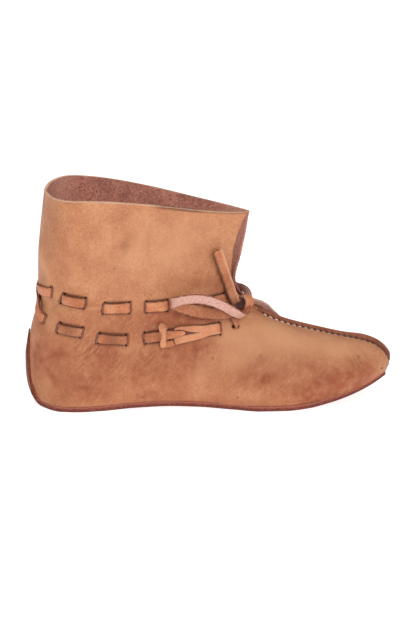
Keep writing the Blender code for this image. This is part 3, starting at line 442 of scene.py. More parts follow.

# Colour patches: kind, side (0 for both), x, z, direction, half length, half width, strength. Some are
# painted light and shade, marked where they stand
PATCHES = (
    ("red", 0, -108.0, 30.0, 20.0, 36.0, 28.0, 0.25),
    ("red", -1, -121.5, 27.0, 112.0, 4.6, 2.2, 2.0),
    ("red", -1, -133.0, 42.0, 80.0, 9.0, 3.5, 0.8),
    ("red", -1, -118.0, 46.0, 10.0, 8.0, 3.5, 0.3),
    ("red", 0, -60.0, 34.0, 0.0, 90.0, 34.0, 0.3),
    ("red", 0, 60.0, 24.0, -12.0, 70.0, 16.0, 0.3),
    ("red", -1, -116.0, 48.0, 30.0, 10.0, 8.0, 0.08),
    ("red", -1, -80.0, 46.0, 60.0, 13.0, 9.0, 0.45),
    ("red", -1, -54.0, 34.0, 60.0, 15.0, 9.0, 0.4),
    ("red", -1, -47.0, 12.0, 0.0, 14.0, 6.0, 0.5),
    ("red", -1, -35.0, 37.0, 80.0, 14.0, 8.0, 0.35),
    ("red", -1, -93.0, 20.0, 0.0, 16.0, 10.0, 0.45),
    ("red", -1, -12.0, 40.0, 60.0, 20.0, 9.0, 0.5),
    ("red", -1, 27.0, 29.0, 40.0, 9.0, 5.0, 0.5),
    ("red", -1, 42.0, 26.0, 10.0, 9.0, 5.0, 0.6),
    ("red", -1, 40.0, 40.0, 40.0, 5.0, 4.0, 0.5),
    ("red", -1, 77.0, 35.0, -20.0, 9.0, 6.0, 0.5),
    ("red", -1, 93.0, 26.0, 0.0, 12.0, 7.0, 0.6),
    ("red", -1, 108.0, 19.0, -10.0, 14.0, 7.0, 0.9),
    ("red", -1, 72.0, 16.0, 0.0, 26.0, 6.0, 0.6),
    ("red", 0, 112.0, 30.0, -30.0, 26.0, 12.0, 0.45),
    ("red", 0, 126.0, 28.0, -40.0, 14.0, 9.0, 0.4),
    ("pale", -1, 38.0, 48.0, -20.0, 26.0, 12.0, 0.55),
    ("red", 0, -124.0, 40.0, 80.0, 26.0, 14.0, 0.35),
    ("red", -1, -66.0, 133.0, 60.0, 8.0, 6.0, 0.5),
    ("red", -1, -115.0, 128.0, 90.0, 18.0, 12.0, 0.25),
    # This patch and the next are partly the skin's redder tone and partly painted shade under the bow's long
    # loop
    ("red", -1, 5.0, 80.0, 20.0, 16.0, 7.0, 0.6),
    ("red", -1, -20.0, 74.0, 0.0, 28.0, 9.0, 0.8),
    ("red", -1, -15.0, 51.0, 8.0, 28.0, 6.0, 0.5),
    ("red", -1, 2.0, 97.0, -10.0, 20.0, 7.0, 0.5),
    ("red", 0, -60.0, 70.0, 0.0, 60.0, 11.0, 0.4),
    ("red", 0, 0.0, 6.0, 0.0, 60.0, 7.0, 0.4),
    ("red", 1, -40.0, 40.0, 20.0, 30.0, 18.0, 0.35),
    ("red", 1, 60.0, 30.0, 10.0, 30.0, 12.0, 0.5),
    ("red", 1, -80.0, 130.0, 60.0, 14.0, 12.0, 0.3),
    ("pale", 0, -40.0, 132.0, 10.0, 60.0, 22.0, 0.35),
    ("pale", -1, -26.0, 124.0, 60.0, 20.0, 10.0, 0.45),
    # This patch and the next are painted highlights along the ridges of two creases
    ("pale", -1, -54.0, 136.0, 71.0, 20.0, 4.5, 0.4),
    ("pale", -1, -125.5, 114.0, 105.0, 16.0, 2.0, 0.6),
    ("pale", -1, 18.0, 58.0, 0.0, 16.0, 8.0, 0.5),
    # This patch and the next are a painted highlight along the vamp's top, below the seam
    ("pale", -1, 62.0, 52.0, -18.0, 22.0, 8.0, 0.8),
    ("pale", -1, 92.0, 45.0, -15.0, 16.0, 6.0, 0.45),
    ("pale", -1, 16.0, 38.0, 20.0, 14.0, 9.0, 0.45),
    ("red", -1, 42.0, 42.0, 20.0, 12.0, 6.0, 0.4),
    ("red", -1, 58.0, 35.0, 20.0, 13.0, 7.0, 0.45),
    ("red", -1, 88.0, 20.0, 0.0, 14.0, 7.0, 0.4),
    ("red", -1, 90.0, 9.0, 5.0, 24.0, 6.0, 0.9),
    ("dark", -1, 97.0, 8.0, 5.0, 15.0, 4.0, 0.2),
    # This patch and the next two are a painted highlight along the vamp's top, below the seam
    ("pale", -1, 48.0, 60.0, -20.0, 15.0, 6.0, 0.45),
    ("pale", -1, 124.0, 42.0, -35.0, 9.0, 4.5, 0.45),
    ("pale", -1, 97.0, 42.0, -15.0, 9.0, 5.0, 0.3),
    ("pale", -1, 30.0, 13.0, 0.0, 14.0, 5.0, 0.4),
    ("pale", -1, -8.0, 28.0, 60.0, 12.0, 8.0, 0.45),
    # A painted highlight along the vamp's top, below the seam
    ("pale", -1, 110.0, 44.0, -25.0, 14.0, 6.0, 0.6),
    ("pale", -1, -123.0, 72.0, 90.0, 9.0, 4.0, 0.4),
    ("pale", -1, -90.0, 84.0, 0.0, 7.0, 0.7, 0.8),
    ("pale", -1, -127.0, 20.0, 60.0, 8.0, 5.0, 0.3),
    # The same painted highlight on the far side of the vamp
    ("pale", 1, 60.0, 50.0, -18.0, 30.0, 10.0, 0.5),
    ("dark", -1, -121.5, 26.5, 112.0, 3.6, 1.4, 0.25),
    # This patch and the next three are painted shade in the wrinkle lines at the toe
    ("dark", -1, 114.5, 35.5, -60.0, 6.0, 0.5, 0.35),
    ("dark", -1, 117.0, 36.0, -58.0, 6.5, 0.5, 0.35),
    ("dark", -1, 111.5, 33.5, -62.0, 5.0, 0.5, 0.25),
    ("dark", -1, 122.0, 39.0, -52.0, 6.0, 0.5, 0.25),
    # This patch and the next are painted shade in the troughs of two creases
    ("dark", -1, -11.5, 45.0, 85.0, 6.0, 2.0, 0.25),
    ("dark", -1, -66.0, 133.0, 60.0, 4.0, 3.0, 0.25),
)

# Soft lines in the skin's colour, as a strength, a distance and a half width: red on the seam's far lip, a
# painted shadow beside it, painted shade along the sole where the upper meets it, painted light beside the
# riser, and a painted shadow below the near rim of the collar
FAR_LIP_RED = (0.9, 2.6, 2.2)
FAR_LIP_SHADOW = (0.25, 1.6, 1.2)
ALONG_SOLE_SHADE = (0.15, 0.0, 1.0)
RISER_PAINTED_LIGHT = (0.7, 1.5, 2.0)
RIM_SHADOW = (0.8, 1.0, 0.8)

# How dark the slits and the seam's groove are, as painted shade in these hollows, how dark the pinholes are,
# and
# the cut rims: all round the collar, more on its near side in front and on its far side ahead of the back,
# and on the far side of the slit in front
SLIT_PAINTED_SHADE = 0.9
GROOVE_PAINTED_SHADE = 0.85
PINHOLE_DARKNESS = 0.9
RIM_DARKNESS = 0.25
NEAR_RIM_DARKNESS = 0.5
FAR_RIM_DARKNESS = 0.45
SLIT_RIM_DARKNESS = 0.45

# Growth lines in the grain: strength, x, z, direction, half length, half width
GROWTH = ((1.0, -72.0, 46.0, 0.0, 34.0, 34.0), (0.4, 40.0, 30.0, 0.0, 50.0, 22.0))

# The slow unevenness of the leather: waves in radians a millimetre along x, y and z, a start, and a height
WAVES = ((0.071, 0.02, 0.043, 0.3, 0.28), (-0.052, 0.03, 0.093, 1.7, 0.24), (0.131, -0.04, 0.061, 4.1, 0.14),
         (0.027, 0.06, -0.118, 2.2, 0.2), (-0.161, 0.05, 0.127, 5.2, 0.09), (0.095, 0.09, 0.172, 0.9, 0.08))

# Dark pinholes in the grain, on the inner side: x, z and half width, and how far each spreads
PINHOLE_SPREAD = 1.05
PINHOLES = ((-73.0, 115.0, 0.7), (-65.0, 158.0, 0.6), (-30.0, 148.0, 0.5),
            (2.0, 42.0, 0.7), (117.0, 38.0, 0.6), (136.0, 26.0, 0.8), (21.0, 11.0, 0.7), (39.0, 43.0, 0.5))


def srgb(red, green, blue):
    """A colour given as screen values from 0 to 255, in the linear light that shaders use."""
    c = np.array((red, green, blue)) / 255.0
    linear = np.where(c <= 0.04045, c / 12.92, ((c + 0.055) / 1.055) ** 2.4)
    return (*linear.tolist(), 1.0)


def smooth(t):
    """Rises from 0 to 1 as t does, level at both ends."""
    t = np.clip(t, 0.0, 1.0)
    return t * t * (3.0 - 2.0 * t)


def bell(t):
    """1 in the middle, falling off to nothing by about 2."""
    return np.exp(-t * t)


def stripe(distance, row):
    """How much of a soft line, given by its strength, place and half width, is at a distance."""
    strength, at, half = row
    return strength * bell((distance - at) / half)


def monotone(values, at):
    """A smooth curve through evenly numbered values that never overshoots them, read at row numbers."""
    step = np.diff(values)
    before, after = step[:-1], step[1:]
    same_way = before * after > 0.0
    total = np.where(same_way, before + after, 1.0)
    slope = np.concatenate((step[:1], np.where(same_way, 2.0 * before * after / total, 0.0), step[-1:]))
    low = np.clip(np.floor(at).astype(int), 0, len(values) - 2)
    t = at - low
    rise = t * t * (3.0 - 2.0 * t)
    return (values[low] + step[low] * rise + slope[low] * t * (1.0 - t) ** 2
            - slope[low + 1] * t * t * (1.0 - t))


def sections_at(rows):
    """Every column of the table at these row numbers."""
    rows = np.asarray(rows, float)
    return {name: monotone(TABLE[:, i], rows) for i, name in enumerate(COLUMNS)}


def on_side(columns, side, *names):
    """The columns of one side of the foot, -1 for the inner and 1 for the outer."""
    return [columns[name + ("_in" if side < 0 else "_out")] for name in names]


def ring_rows(counts):
    """Row numbers of rings, evenly spread in each of the zones toe, quarter and shaft."""
    zones = ((0, THROAT_ROW), (THROAT_ROW, RISER_TIP_ROW), (RISER_TIP_ROW, LAST_ROW))
    rows = [np.zeros(1)]
    for (first, last), count in zip(zones, counts):
        fine = np.linspace(first, last, ZONE_STEPS)
        c = sections_at(fine)
        travel = np.hypot(np.diff(c["top_x"]), np.diff(c["top_z"]))
        travel += np.hypot(np.diff(c["low_x"]), np.diff(c["low_z"]))
        length = np.concatenate(([0.0], np.cumsum(travel + ROW_WEIGHT * np.diff(fine))))
        rows.append(np.interp(np.linspace(0.0, length[-1], count + 1)[1:], length, fine))
    return np.concatenate(rows)


def half_grid(rows, side, lines):
    """Half sections as rings by lines: points, and how far each is below the top and above the sole's edge.

    Below the widest point a section is an ellipse that starts at the flat of the sole, above it a
    superellipse that closes at the top. It is read at even steps of its length, closer beside the top.
    """
    c = {name: value[:, None] for name, value in sections_at(rows).items()}
    wide, flat, gap = on_side(c, side, "wide", "flat", "gap")
    bulge = 1.0 - (flat / wide) ** 2
    start = np.maximum(flat, c["cut"])
    first = np.arccos(np.sqrt(np.clip((1.0 - (start / wide) ** 2) / bulge, 0.0, 1.0)))
    share = np.linspace(0.0, 1.0, DENSE)[None, :]
    low = first + (0.5 * np.pi - first) * share
    high = 0.5 * np.pi * share[:, 1:]
    power = 2.0 / c["crown"]
    along = np.concatenate((c["wide_at"] * (1.0 - np.cos(low)),
                            c["wide_at"] + (1.0 - c["wide_at"]) * np.sin(high) ** power), axis=1)
    out = np.concatenate((wide * np.sqrt(1.0 - bulge * np.cos(low) ** 2),
                          wide * np.cos(high).clip(0.0) ** power), axis=1)
    arch = BOW_PEAK * c["bow"] * along * (1.0 - along) ** 2
    curve = np.stack((c["low_x"] + along * (c["top_x"] - c["low_x"]), c["mid_y"] + side * out,
                      c["low_z"] + along * (c["top_z"] - c["low_z"]) + arch), axis=2)
    travel = np.linalg.norm(np.diff(curve, axis=1), axis=2)
    length = np.concatenate((np.zeros((len(rows), 1)), np.cumsum(travel, axis=1)), axis=1)
    end = length[:, -1:] - gap
    close = CLOSE_LINES[None, :] * np.minimum(1.0, end / (4.0 * CLOSE_LINES[0]))
    even = (end - close[:, :1]) * np.linspace(0.0, 1.0, lines + 1)[None, :-1]
    at = np.concatenate((even, end - close), axis=1)
    before = np.clip((length[:, None, :] <= at[:, :, None]).sum(axis=2) - 1, 0, length.shape[1] - 2)
    begin = np.take_along_axis(length, before, axis=1)
    finish = np.take_along_axis(length, before + 1, axis=1)
    part = ((at - begin) / np.maximum(finish - begin, 1e-9))[:, :, None]
    ring = np.arange(len(rows))[:, None]
    points = curve[ring, before] + part * (curve[ring, before + 1] - curve[ring, before])
    return points, end - at, at


def find_section(places):
    """The row number and the share along its section of places in side view, as x and z."""
    rows = np.linspace(0.0, LAST_ROW, FINE_ROWS)
    c = sections_at(rows)
    run, rise = c["top_x"] - c["low_x"], c["top_z"] - c["low_z"]
    dx, dz = places[:, :1] - c["low_x"], places[:, 1:] - c["low_z"]
    over = dx * rise - dz * run
    at = ((over[:, :-1] < 0.0) & (over[:, 1:] >= 0.0)).argmax(axis=1)
    line = np.arange(len(places))
    part = over[line, at] / (over[line, at] - over[line, at + 1])
    row = rows[at] + part * (rows[1] - rows[0])
    c = sections_at(row)
    run, rise = c["top_x"] - c["low_x"], c["top_z"] - c["low_z"]
    share = ((places[:, 0] - c["low_x"]) * run + (places[:, 1] - c["low_z"]) * rise) / (run ** 2 + rise ** 2)
    return row, share


def skin_at(row, share, side):
    """Points of the outer skin at row numbers and shares along their sections, on one side."""
    c = sections_at(row)
    wide, flat = on_side(c, side, "wide", "flat")
    bulge = 1.0 - (flat / wide) ** 2
    below = np.clip((c["wide_at"] - share) / c["wide_at"], 0.0, 1.0)
    above = np.clip((share - c["wide_at"]) / (1.0 - c["wide_at"]), 0.0, 1.0)
    out = wide * np.sqrt(1.0 - bulge * below ** 2) * (1.0 - above ** c["crown"]) ** (1.0 / c["crown"])
    return np.stack((c["low_x"] + share * (c["top_x"] - c["low_x"]), c["mid_y"] + side * out,
                     c["low_z"] + share * (c["top_z"] - c["low_z"])), axis=1)


def on_quarter(places, side):
    """Points and outward normals of the plain skin at places in side view, as x and z."""
    places = np.asarray(places, float)
    centre = skin_at(*find_section(places), side)
    slope = []
    for step in ((NUDGE, 0.0), (0.0, NUDGE)):
        ahead = skin_at(*find_section(places + step), side)
        behind = skin_at(*find_section(places - step), side)
        slope.append(side * (ahead[:, 1] - behind[:, 1]) / (2.0 * NUDGE))
    normal = np.stack((-slope[0], np.full(len(places), side), -slope[1]), axis=1)
    return centre, normal / np.linalg.norm(normal, axis=1)[:, None]


def uneven(points):
    """A slow unevenness of hand-worked leather: a few long sine waves in space."""
    return sum(size * np.sin(points @ np.array((x, y, z)) + start) for x, y, z, start, size in WAVES)


def patch(x, z, row):
    """How much of a soft oval, given by its place, direction and half sizes, is at x and z."""
    at_x, at_z, turn, long, wide = row
    turn = np.radians(turn)
    along = (x - at_x) * np.cos(turn) + (z - at_z) * np.sin(turn)
    beside = (z - at_z) * np.cos(turn) - (x - at_x) * np.sin(turn)
    return bell(along / long) * bell(beside / wide)


def run_distance(x, z, a, b):
    """How far x and z are from the line between two slits, and how far along it, as a share."""
    a, b = np.array(a), np.array(b)
    way = b - a
    share = ((x - a[0]) * way[0] + (z - a[1]) * way[1]) / (way @ way)
    beside = ((z - a[1]) * way[0] - (x - a[0]) * way[1]) / np.sqrt(way @ way)
    return beside, share


def outside_runs():
    """The stretches between slits where the thong lies on the outside."""
    runs = [(run[i], run[i + 1]) for run in (HIGH_RUN, LOW_RUN) for i in range(1, 8, 2)]
    return [run for run in runs if run[1] != LOW_RUN[-1]]


def quarter_relief(points, side):
    """How far the skin stands off its plain form: creases, unevenness, and a shallow bed under each run."""
    x, z = points[:, 0], points[:, 2]
    total = uneven(points)
    for which, *row, height in CREASES:
        total += np.where(side == which, height * patch(x, z, row), 0.0)
    for a, b in outside_runs():
        beside, share = run_distance(x, z, a, b)
        ends = smooth(RUN_TROUGH_ENDS * share) * smooth(RUN_TROUGH_ENDS * (1.0 - share))
        total -= RUN_TROUGH * np.exp(-(beside / RUN_TROUGH_WIDTH) ** 4) * ends
    return total


def slit_frames():
    """Every slit in side view: its place, the way out from the strap, the way across, and half its length.

    The strap lies outside between odd and even slits. In the low row the first slit is shorter, and the last
    is only a small hole, which the strap leaves downwards.
    """
    frames = []
    for back, row in ((HIGH_BACK, HIGH_RUN), (LOW_BACK, LOW_RUN)):
        run = np.array((back,) + row)
        leg = np.diff(run, axis=0)
        leg /= np.linalg.norm(leg, axis=1)[:, None]
        way = leg[:-1] + leg[1:]
        way /= np.linalg.norm(way, axis=1)[:, None]
        halves = [SLIT_HALF] * len(way)
        outs = [ahead if number % 2 == 0 else -ahead for number, ahead in enumerate(way)]
        if row is LOW_RUN:
            halves[0] = SHORT_HALF
            halves[-1] = HOLE_HALF
            outs[-1] = np.array((0.0, -1.0))
        for spot, out, half in zip(run[1:-1], outs, halves):
            frames.append((spot, out, np.array((-out[1], out[0])), half))
    return frames


def slit_depth(x, z):
    """How deep the skin is drawn in along the slits."""
    depth = np.zeros(len(x))
    for spot, out, up, half in slit_frames():
        along = (x - spot[0]) * out[0] + (z - spot[1]) * out[1]
        across = (x - spot[0]) * up[0] + (z - spot[1]) * up[1]
        depth = np.maximum(depth, bell(along / SLIT_WIDTH) * np.exp(-(across / (half + SLIT_FADE)) ** 6))
    return depth


def vertex_normals(points, quads):
    """Outward normals of a mesh, the mean of its faces around each point."""
    a, b, c, d = (points[quads[:, i]] for i in range(4))
    face = np.cross(c - a, d - b)
    normals = np.stack([sum(np.bincount(quads[:, corner], face[:, axis], len(points)) for corner in range(4))
                        for axis in range(3)], axis=1)
    size = np.linalg.norm(normals, axis=1)[:, None]
    return normals / np.where(size > 0.0, size, 1.0)


def grid_quads(index):
    """Quads between the neighbouring points of a grid of point numbers."""
    return np.stack((index[:-1, :-1], index[:-1, 1:], index[1:, 1:], index[1:, :-1]), axis=-1).reshape(-1, 4)


def open_edges(quads, count):
    """The edges that only one quad has, in the direction that the quad runs."""
    a, b = quads.reshape(-1), np.roll(quads, -1, axis=1).reshape(-1)
    single = ~np.isin(a * count + b, b * count + a)
    return a[single], b[single]


def numbering(used, count):
    """For each of so many points its place among the used ones."""
    number = np.zeros(count, int)
    number[used] = np.arange(len(used))
    return number


def add_piece(name, points, faces, materials, kinds=None, values=None, replaced=()):
    """A piece of the shoe from points in millimetres and faces as an array or a list.

    Kinds is the material of each face, values its point attributes, and replaced the solids it stands for.
    """
    mesh = bpy.data.meshes.new(name)
    faces = faces if isinstance(faces, list) else faces.tolist()
    mesh.from_pydata(((points - CENTRE) * MM).tolist(), [], faces)
    for material in materials:
        mesh.materials.append(material)
    if kinds is not None:
        mesh.polygons.foreach_set("material_index", np.asarray(kinds, np.int32))
    for key, value in (values or {}).items():
        layer = mesh.attributes.new(key, 'FLOAT', 'POINT')
        layer.data.foreach_set("value", np.asarray(value, np.float32))
    mesh.update()
    mesh.shade_smooth()
    mesh.set_sharp_from_angle(angle=SHARP_ANGLE)
    piece = bpy.data.objects.new(name, mesh)
    bpy.context.scene.collection.objects.link(piece)
    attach(piece, "root")
    if replaced:
        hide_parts(*replaced)
    return piece


def place(tree, kind, sockets=None, **settings):
    """A shader node with its settings, its constant inputs, and links where an input is another's output."""
    node = tree.nodes.new(kind)
    for key, value in settings.items():
        setattr(node, key, value)
    for key, value in (sockets or {}).items():
        if isinstance(value, bpy.types.NodeSocket):
            tree.links.new(value, node.inputs[key])
        else:
            node.inputs[key].default_value = value
    return node


def mix(tree, share, first, second, blend='MIX'):
    """The colour between two, by a share."""
    node = place(tree, 'ShaderNodeMix', {0: share, 6: first, 7: second}, data_type='RGBA', blend_type=blend)
    return node.outputs[2]


def math(tree, operation, first, second=0.0, clamp=False):
    """One sum of two values."""
    node = place(tree, 'ShaderNodeMath', {0: first, 1: second}, operation=operation, use_clamp=clamp)
    return node.outputs[0]


def noise(tree, scale, detail=3.0, roughness=0.55, stretch=None, turn=(0.0, 0.0, 0.0)):
    """A noise of so many waves a metre on object coordinates, which may be turned and stretched."""
    vector = place(tree, 'ShaderNodeTexCoord').outputs["Object"]
    if stretch is not None:
        vector = place(tree, 'ShaderNodeMapping', {"Vector": vector, "Rotation": turn}).outputs[0]
        vector = place(tree, 'ShaderNodeMapping', {"Vector": vector, "Scale": stretch}).outputs[0]
    return place(tree, 'ShaderNodeTexNoise', {"Vector": vector, "Scale": scale, "Detail": detail,
                                              "Roughness": roughness}).outputs["Fac"]


def ramp(tree, value, low, high, start=0.0, finish=1.0):
    """A value brought from one span to another, and held there."""
    return place(tree, 'ShaderNodeMapRange', {"Value": value, "From Min": low, "From Max": high,
                                              "To Min": start, "To Max": finish}).outputs[0]


def attribute(tree, name):
    """A point attribute of the piece."""
    return place(tree, 'ShaderNodeAttribute', attribute_name=name).outputs["Fac"]


def new_group(name, inputs, outputs):
    """An empty shader node group with named sockets."""
    tree = bpy.data.node_groups.new(name, 'ShaderNodeTree')
    for label, kind in inputs:
        tree.interface.new_socket(label, in_out='INPUT', socket_type=kind)
    for label, kind in outputs:
        tree.interface.new_socket(label, in_out='OUTPUT', socket_type=kind)
    return tree, tree.nodes.new('NodeGroupInput').outputs, tree.nodes.new('NodeGroupOutput').inputs


def grain_group():
    """Leather grain: cloudy colour, small specks and pores, and the height of its pebbling."""
    colour, value = 'NodeSocketColor', 'NodeSocketFloat'
    tree, given, out = new_group("leather_grain", (("Colour", colour), ("Deep", colour), ("Light", colour),
                                                   ("Cloud", value), ("Speck", value)),
                                 (("Colour", colour), ("Height", value), ("Roughness", value)))
    cloud = noise(tree, 55.0, 5.0, 0.6)
    fine = noise(tree, 560.0, 4.0, 0.7)
    pebble = noise(tree, 1500.0, 3.0, 0.6)
    deep = math(tree, 'MULTIPLY', ramp(tree, cloud, 0.48, 0.72), given["Cloud"], True)
    light = math(tree, 'MULTIPLY', ramp(tree, cloud, 0.5, 0.28), given["Cloud"], True)
    made = mix(tree, deep, given["Colour"], given["Deep"])
    made = mix(tree, light, made, given["Light"])
    dull = math(tree, 'MULTIPLY', ramp(tree, fine, 0.51, 0.72), given["Speck"], True)
    made = mix(tree, dull, made, given["Deep"])
    bright = math(tree, 'MULTIPLY', ramp(tree, fine, 0.45, 0.28), given["Speck"], True)
    made = mix(tree, bright, made, given["Light"])
    tree.links.new(made, out["Colour"])
    height = math(tree, 'ADD', math(tree, 'MULTIPLY', fine, 0.6), math(tree, 'MULTIPLY', pebble, 0.4))
    tree.links.new(height, out["Height"])
    tree.links.new(ramp(tree, fine, 0.3, 0.7, 0.62, 0.5), out["Roughness"])
    return tree


def lines_group():
    """Growth lines: short slanting wrinkles in one region of the skin, as a mask."""
    value = 'NodeSocketFloat'
    tree, given, out = new_group("growth_lines", (("Amount", value),), (("Mask", value),))
    wave = noise(tree, 1.0, 2.0, 0.5, stretch=(150.0, 120.0, 1000.0), turn=(0.0, np.radians(52.0), 0.0))
    patchy = noise(tree, 45.0, 2.0)
    made = math(tree, 'MULTIPLY', ramp(tree, wave, 0.5, 0.6), ramp(tree, patchy, 0.32, 0.55))
    tree.links.new(math(tree, 'MULTIPLY', made, given["Amount"], True), out["Mask"])
    return tree


def flesh_group():
    """Flesh side: fibres and mottling, with the height of the nap."""
    colour, value = 'NodeSocketColor', 'NodeSocketFloat'
    tree, given, out = new_group("flesh_side", (("Colour", colour), ("Deep", colour), ("Light", colour)),
                                 (("Colour", colour), ("Height", value)))
    cloud = noise(tree, 60.0, 4.0)
    fibre = noise(tree, 1.0, 4.0, 0.65, stretch=(420.0, 520.0, 800.0))
    speck = noise(tree, 640.0, 4.0, 0.75)
    made = mix(tree, ramp(tree, cloud, 0.42, 0.7, 0.0, 0.6), given["Colour"], given["Deep"])
    made = mix(tree, math(tree, 'MULTIPLY', ramp(tree, fibre, 0.5, 0.66), 0.6), made, given["Light"])
    made = mix(tree, math(tree, 'MULTIPLY', ramp(tree, speck, 0.49, 0.6), 0.8), made, given["Deep"])
    tree.links.new(made, out["Colour"])
    tree.links.new(math(tree, 'ADD', math(tree, 'MULTIPLY', fibre, 0.5), math(tree, 'MULTIPLY', speck, 0.5)),
                   out["Height"])
    return tree


GRAIN = grain_group()
LINES = lines_group()
FLESH = flesh_group()


def new_material(name, roughness):
    """A material with its tree and its Principled shader."""
    material = bpy.data.materials.new(name)
    material.use_nodes = True
    shader = material.node_tree.nodes["Principled BSDF"]
    shader.inputs["Roughness"].default_value = roughness
    shader.inputs["Specular IOR Level"].default_value = 0.35
    return material, material.node_tree, shader


def bump(tree, shader, height, distance, strength):
    """Feeds a height to the shader's normal."""
    made = place(tree, 'ShaderNodeBump', {"Height": height, "Distance": distance, "Strength": strength})
    tree.links.new(made.outputs[0], shader.inputs["Normal"])


def grain_material(name, base, deep, light, dark, red=None):
    """The grain side of leather, with pale and dark places, and where red is given, red places and lines."""
    material, tree, shader = new_material(name, 0.58)
    made = place(tree, 'ShaderNodeGroup', node_tree=GRAIN)
    for key, value in (("Colour", base), ("Deep", deep), ("Light", light), ("Cloud", 0.6), ("Speck", 0.75)):
        made.inputs[key].default_value = value
    colour, height = made.outputs["Colour"], made.outputs["Height"]
    if red is not None:
        broken = ramp(tree, noise(tree, 160.0, 4.0, 0.6), 0.25, 0.7, 0.35, 1.25)
        colour = mix(tree, math(tree, 'MULTIPLY', attribute(tree, "red"), broken, True), colour, red)
        lines = place(tree, 'ShaderNodeGroup', {"Amount": attribute(tree, "lines")}, node_tree=LINES)
        colour = mix(tree, math(tree, 'MULTIPLY', lines.outputs[0], 0.8), colour, red)
        colour = mix(tree, math(tree, 'MULTIPLY', lines.outputs[0], 0.2), colour, dark)
        height = math(tree, 'SUBTRACT', height, math(tree, 'MULTIPLY', lines.outputs[0], 0.7))
    # The pale and dark attributes carry the leather's own tone, and also painted highlights and painted shade
    colour = mix(tree, math(tree, 'MULTIPLY', attribute(tree, "pale"), 0.8, True), colour, light)
    colour = mix(tree, attribute(tree, "dark"), colour, dark)
    tree.links.new(colour, shader.inputs["Base Color"])
    tree.links.new(made.outputs["Roughness"], shader.inputs["Roughness"])
    bump(tree, shader, height, 0.0006, 0.6)
    return material


def flesh_material(name, base, deep, light):
    """The flesh side of leather, with the pale and dark places of its piece."""
    material, tree, shader = new_material(name, 0.85)
    made = place(tree, 'ShaderNodeGroup', node_tree=FLESH)
    for key, value in (("Colour", base), ("Deep", deep), ("Light", light)):
        made.inputs[key].default_value = value
    # The pale and dark attributes carry tone, and also painted light and shade on the lining, the sole's edge
    # and the bow
    colour = mix(tree, attribute(tree, "pale"), made.outputs["Colour"], light)
    colour = mix(tree, attribute(tree, "dark"), colour, FLESH_DARK)
    tree.links.new(colour, shader.inputs["Base Color"])
    bump(tree, shader, made.outputs["Height"], 0.0008, 0.6)
    return material


# FLESH_DARK and the dark colour of each grain material are what the dark attribute mixes in: darker tone, and
# painted shade
FLESH_DARK = srgb(74, 36, 30)
UPPER_GRAIN = grain_material("upper_grain", srgb(198, 132, 91), srgb(166, 97, 62), srgb(219, 159, 116),
                             srgb(74, 36, 26), srgb(158, 82, 50))
UPPER_EDGE = flesh_material("upper_cut_edge", srgb(242, 196, 164), srgb(216, 160, 126), srgb(252, 224, 200))
UPPER_FLESH = flesh_material("upper_flesh", srgb(216, 145, 124), srgb(144, 86, 74), srgb(236, 186, 164))
# Its dark colour is near black, so that the painted shadows at the bow's knot come out black
THONG_GRAIN = grain_material("thong_grain", srgb(209, 129, 86), srgb(166, 88, 54), srgb(236, 172, 130),
                             srgb(66, 26, 16))
THONG_FLESH = flesh_material("thong_flesh", srgb(216, 167, 152), srgb(190, 137, 122), srgb(234, 198, 184))
THONG_EDGE = flesh_material("thong_cut_edge", srgb(160, 96, 70), srgb(112, 62, 46), srgb(236, 200, 176))
THONG = (THONG_GRAIN, THONG_FLESH, THONG_EDGE)
SOLE_EDGE = flesh_material("sole_cut_edge", srgb(144, 72, 56), srgb(108, 52, 42), srgb(190, 120, 104))
SOLE_FACE = flesh_material("sole_face", srgb(158, 98, 78), srgb(112, 66, 52), srgb(186, 128, 104))
SLIT_EDGE = flesh_material("slit_edge", srgb(146, 94, 80), srgb(90, 52, 42), srgb(186, 138, 122))
# Painted shade inside the slits, where the strap goes in
SLIT_SHADE = flesh_material("slit_painted_shade", srgb(40, 22, 18), srgb(24, 12, 10), srgb(58, 32, 26))
SEAM_EDGE = flesh_material("seam_edge", srgb(250, 236, 226), srgb(214, 180, 166), srgb(255, 250, 246))
THREAD = flesh_material("seam_thread", srgb(104, 62, 46), srgb(70, 40, 30), srgb(140, 92, 70))


def upper_points(rings, lines):
    """The plain outer skin of both halves, its quads, and what is known of each point.

    Both halves share the seam line from the toe to the throat, and the back line above the riser. At the
    toe's tip they are joined across. Known are the row, the way along the top line, the middle across, the
    side, and how far a point is away from the top and up from the sole.
    """
    rows = ring_rows(rings)
    grids = [half_grid(rows, side, lines) for side in (NEAR, FAR)]
    points = np.stack([grid[0] for grid in grids])
    shape = points.shape[:3]
    index = np.arange(np.prod(shape)).reshape(shape)
    throat, riser = rings[0] + 1, rings[0] + rings[1]
    index[1, :throat, -1] = index[0, :throat, -1]
    index[1, riser:, 0] = index[0, riser:, 0]
    tip = np.stack((index[0, 0, :-2], index[1, 0, :-2], index[1, 0, 1:-1], index[0, 0, 1:-1]), axis=1)
    quads = np.concatenate((grid_quads(index[0]), grid_quads(index[1])[:, ::-1], tip))
    steps = np.linalg.norm(np.diff(points[0, :, -1], axis=0), axis=1)
    travel = np.concatenate(([0.0], np.cumsum(steps)))
    facts = {
        "row": rows[None, :, None],
        "travel": travel[None, :, None],
        "middle": sections_at(rows)["mid_y"][None, :, None],
        "side": np.array((NEAR, FAR))[:, None, None],
        "away": np.stack([grid[1] for grid in grids]),
        "up": np.stack([grid[2] for grid in grids]),
    }
    used = np.unique(quads)
    facts = {key: np.broadcast_to(value, shape).reshape(-1)[used] for key, value in facts.items()}
    return points.reshape(-1, 3)[used], numbering(used, index.size)[quads], facts


def off_middle(points, facts):
    """0 on the shoe's middle line, rising to 1 a little beside it."""
    return smooth(np.abs(points[:, 1] - facts["middle"]) / MIDDLE_BLEND)


def riser_share(row):
    """1 on the rows where the riser is turned up the heel, and 0 on the others."""
    return smooth((row - 17.0) / 1.5) * smooth(RISER_TIP_ROW + 0.4 - row)


def collar_front(x):
    """0 on the back of the collar, 1 on its front part."""
    return smooth((x + 46.0) / 12.0)


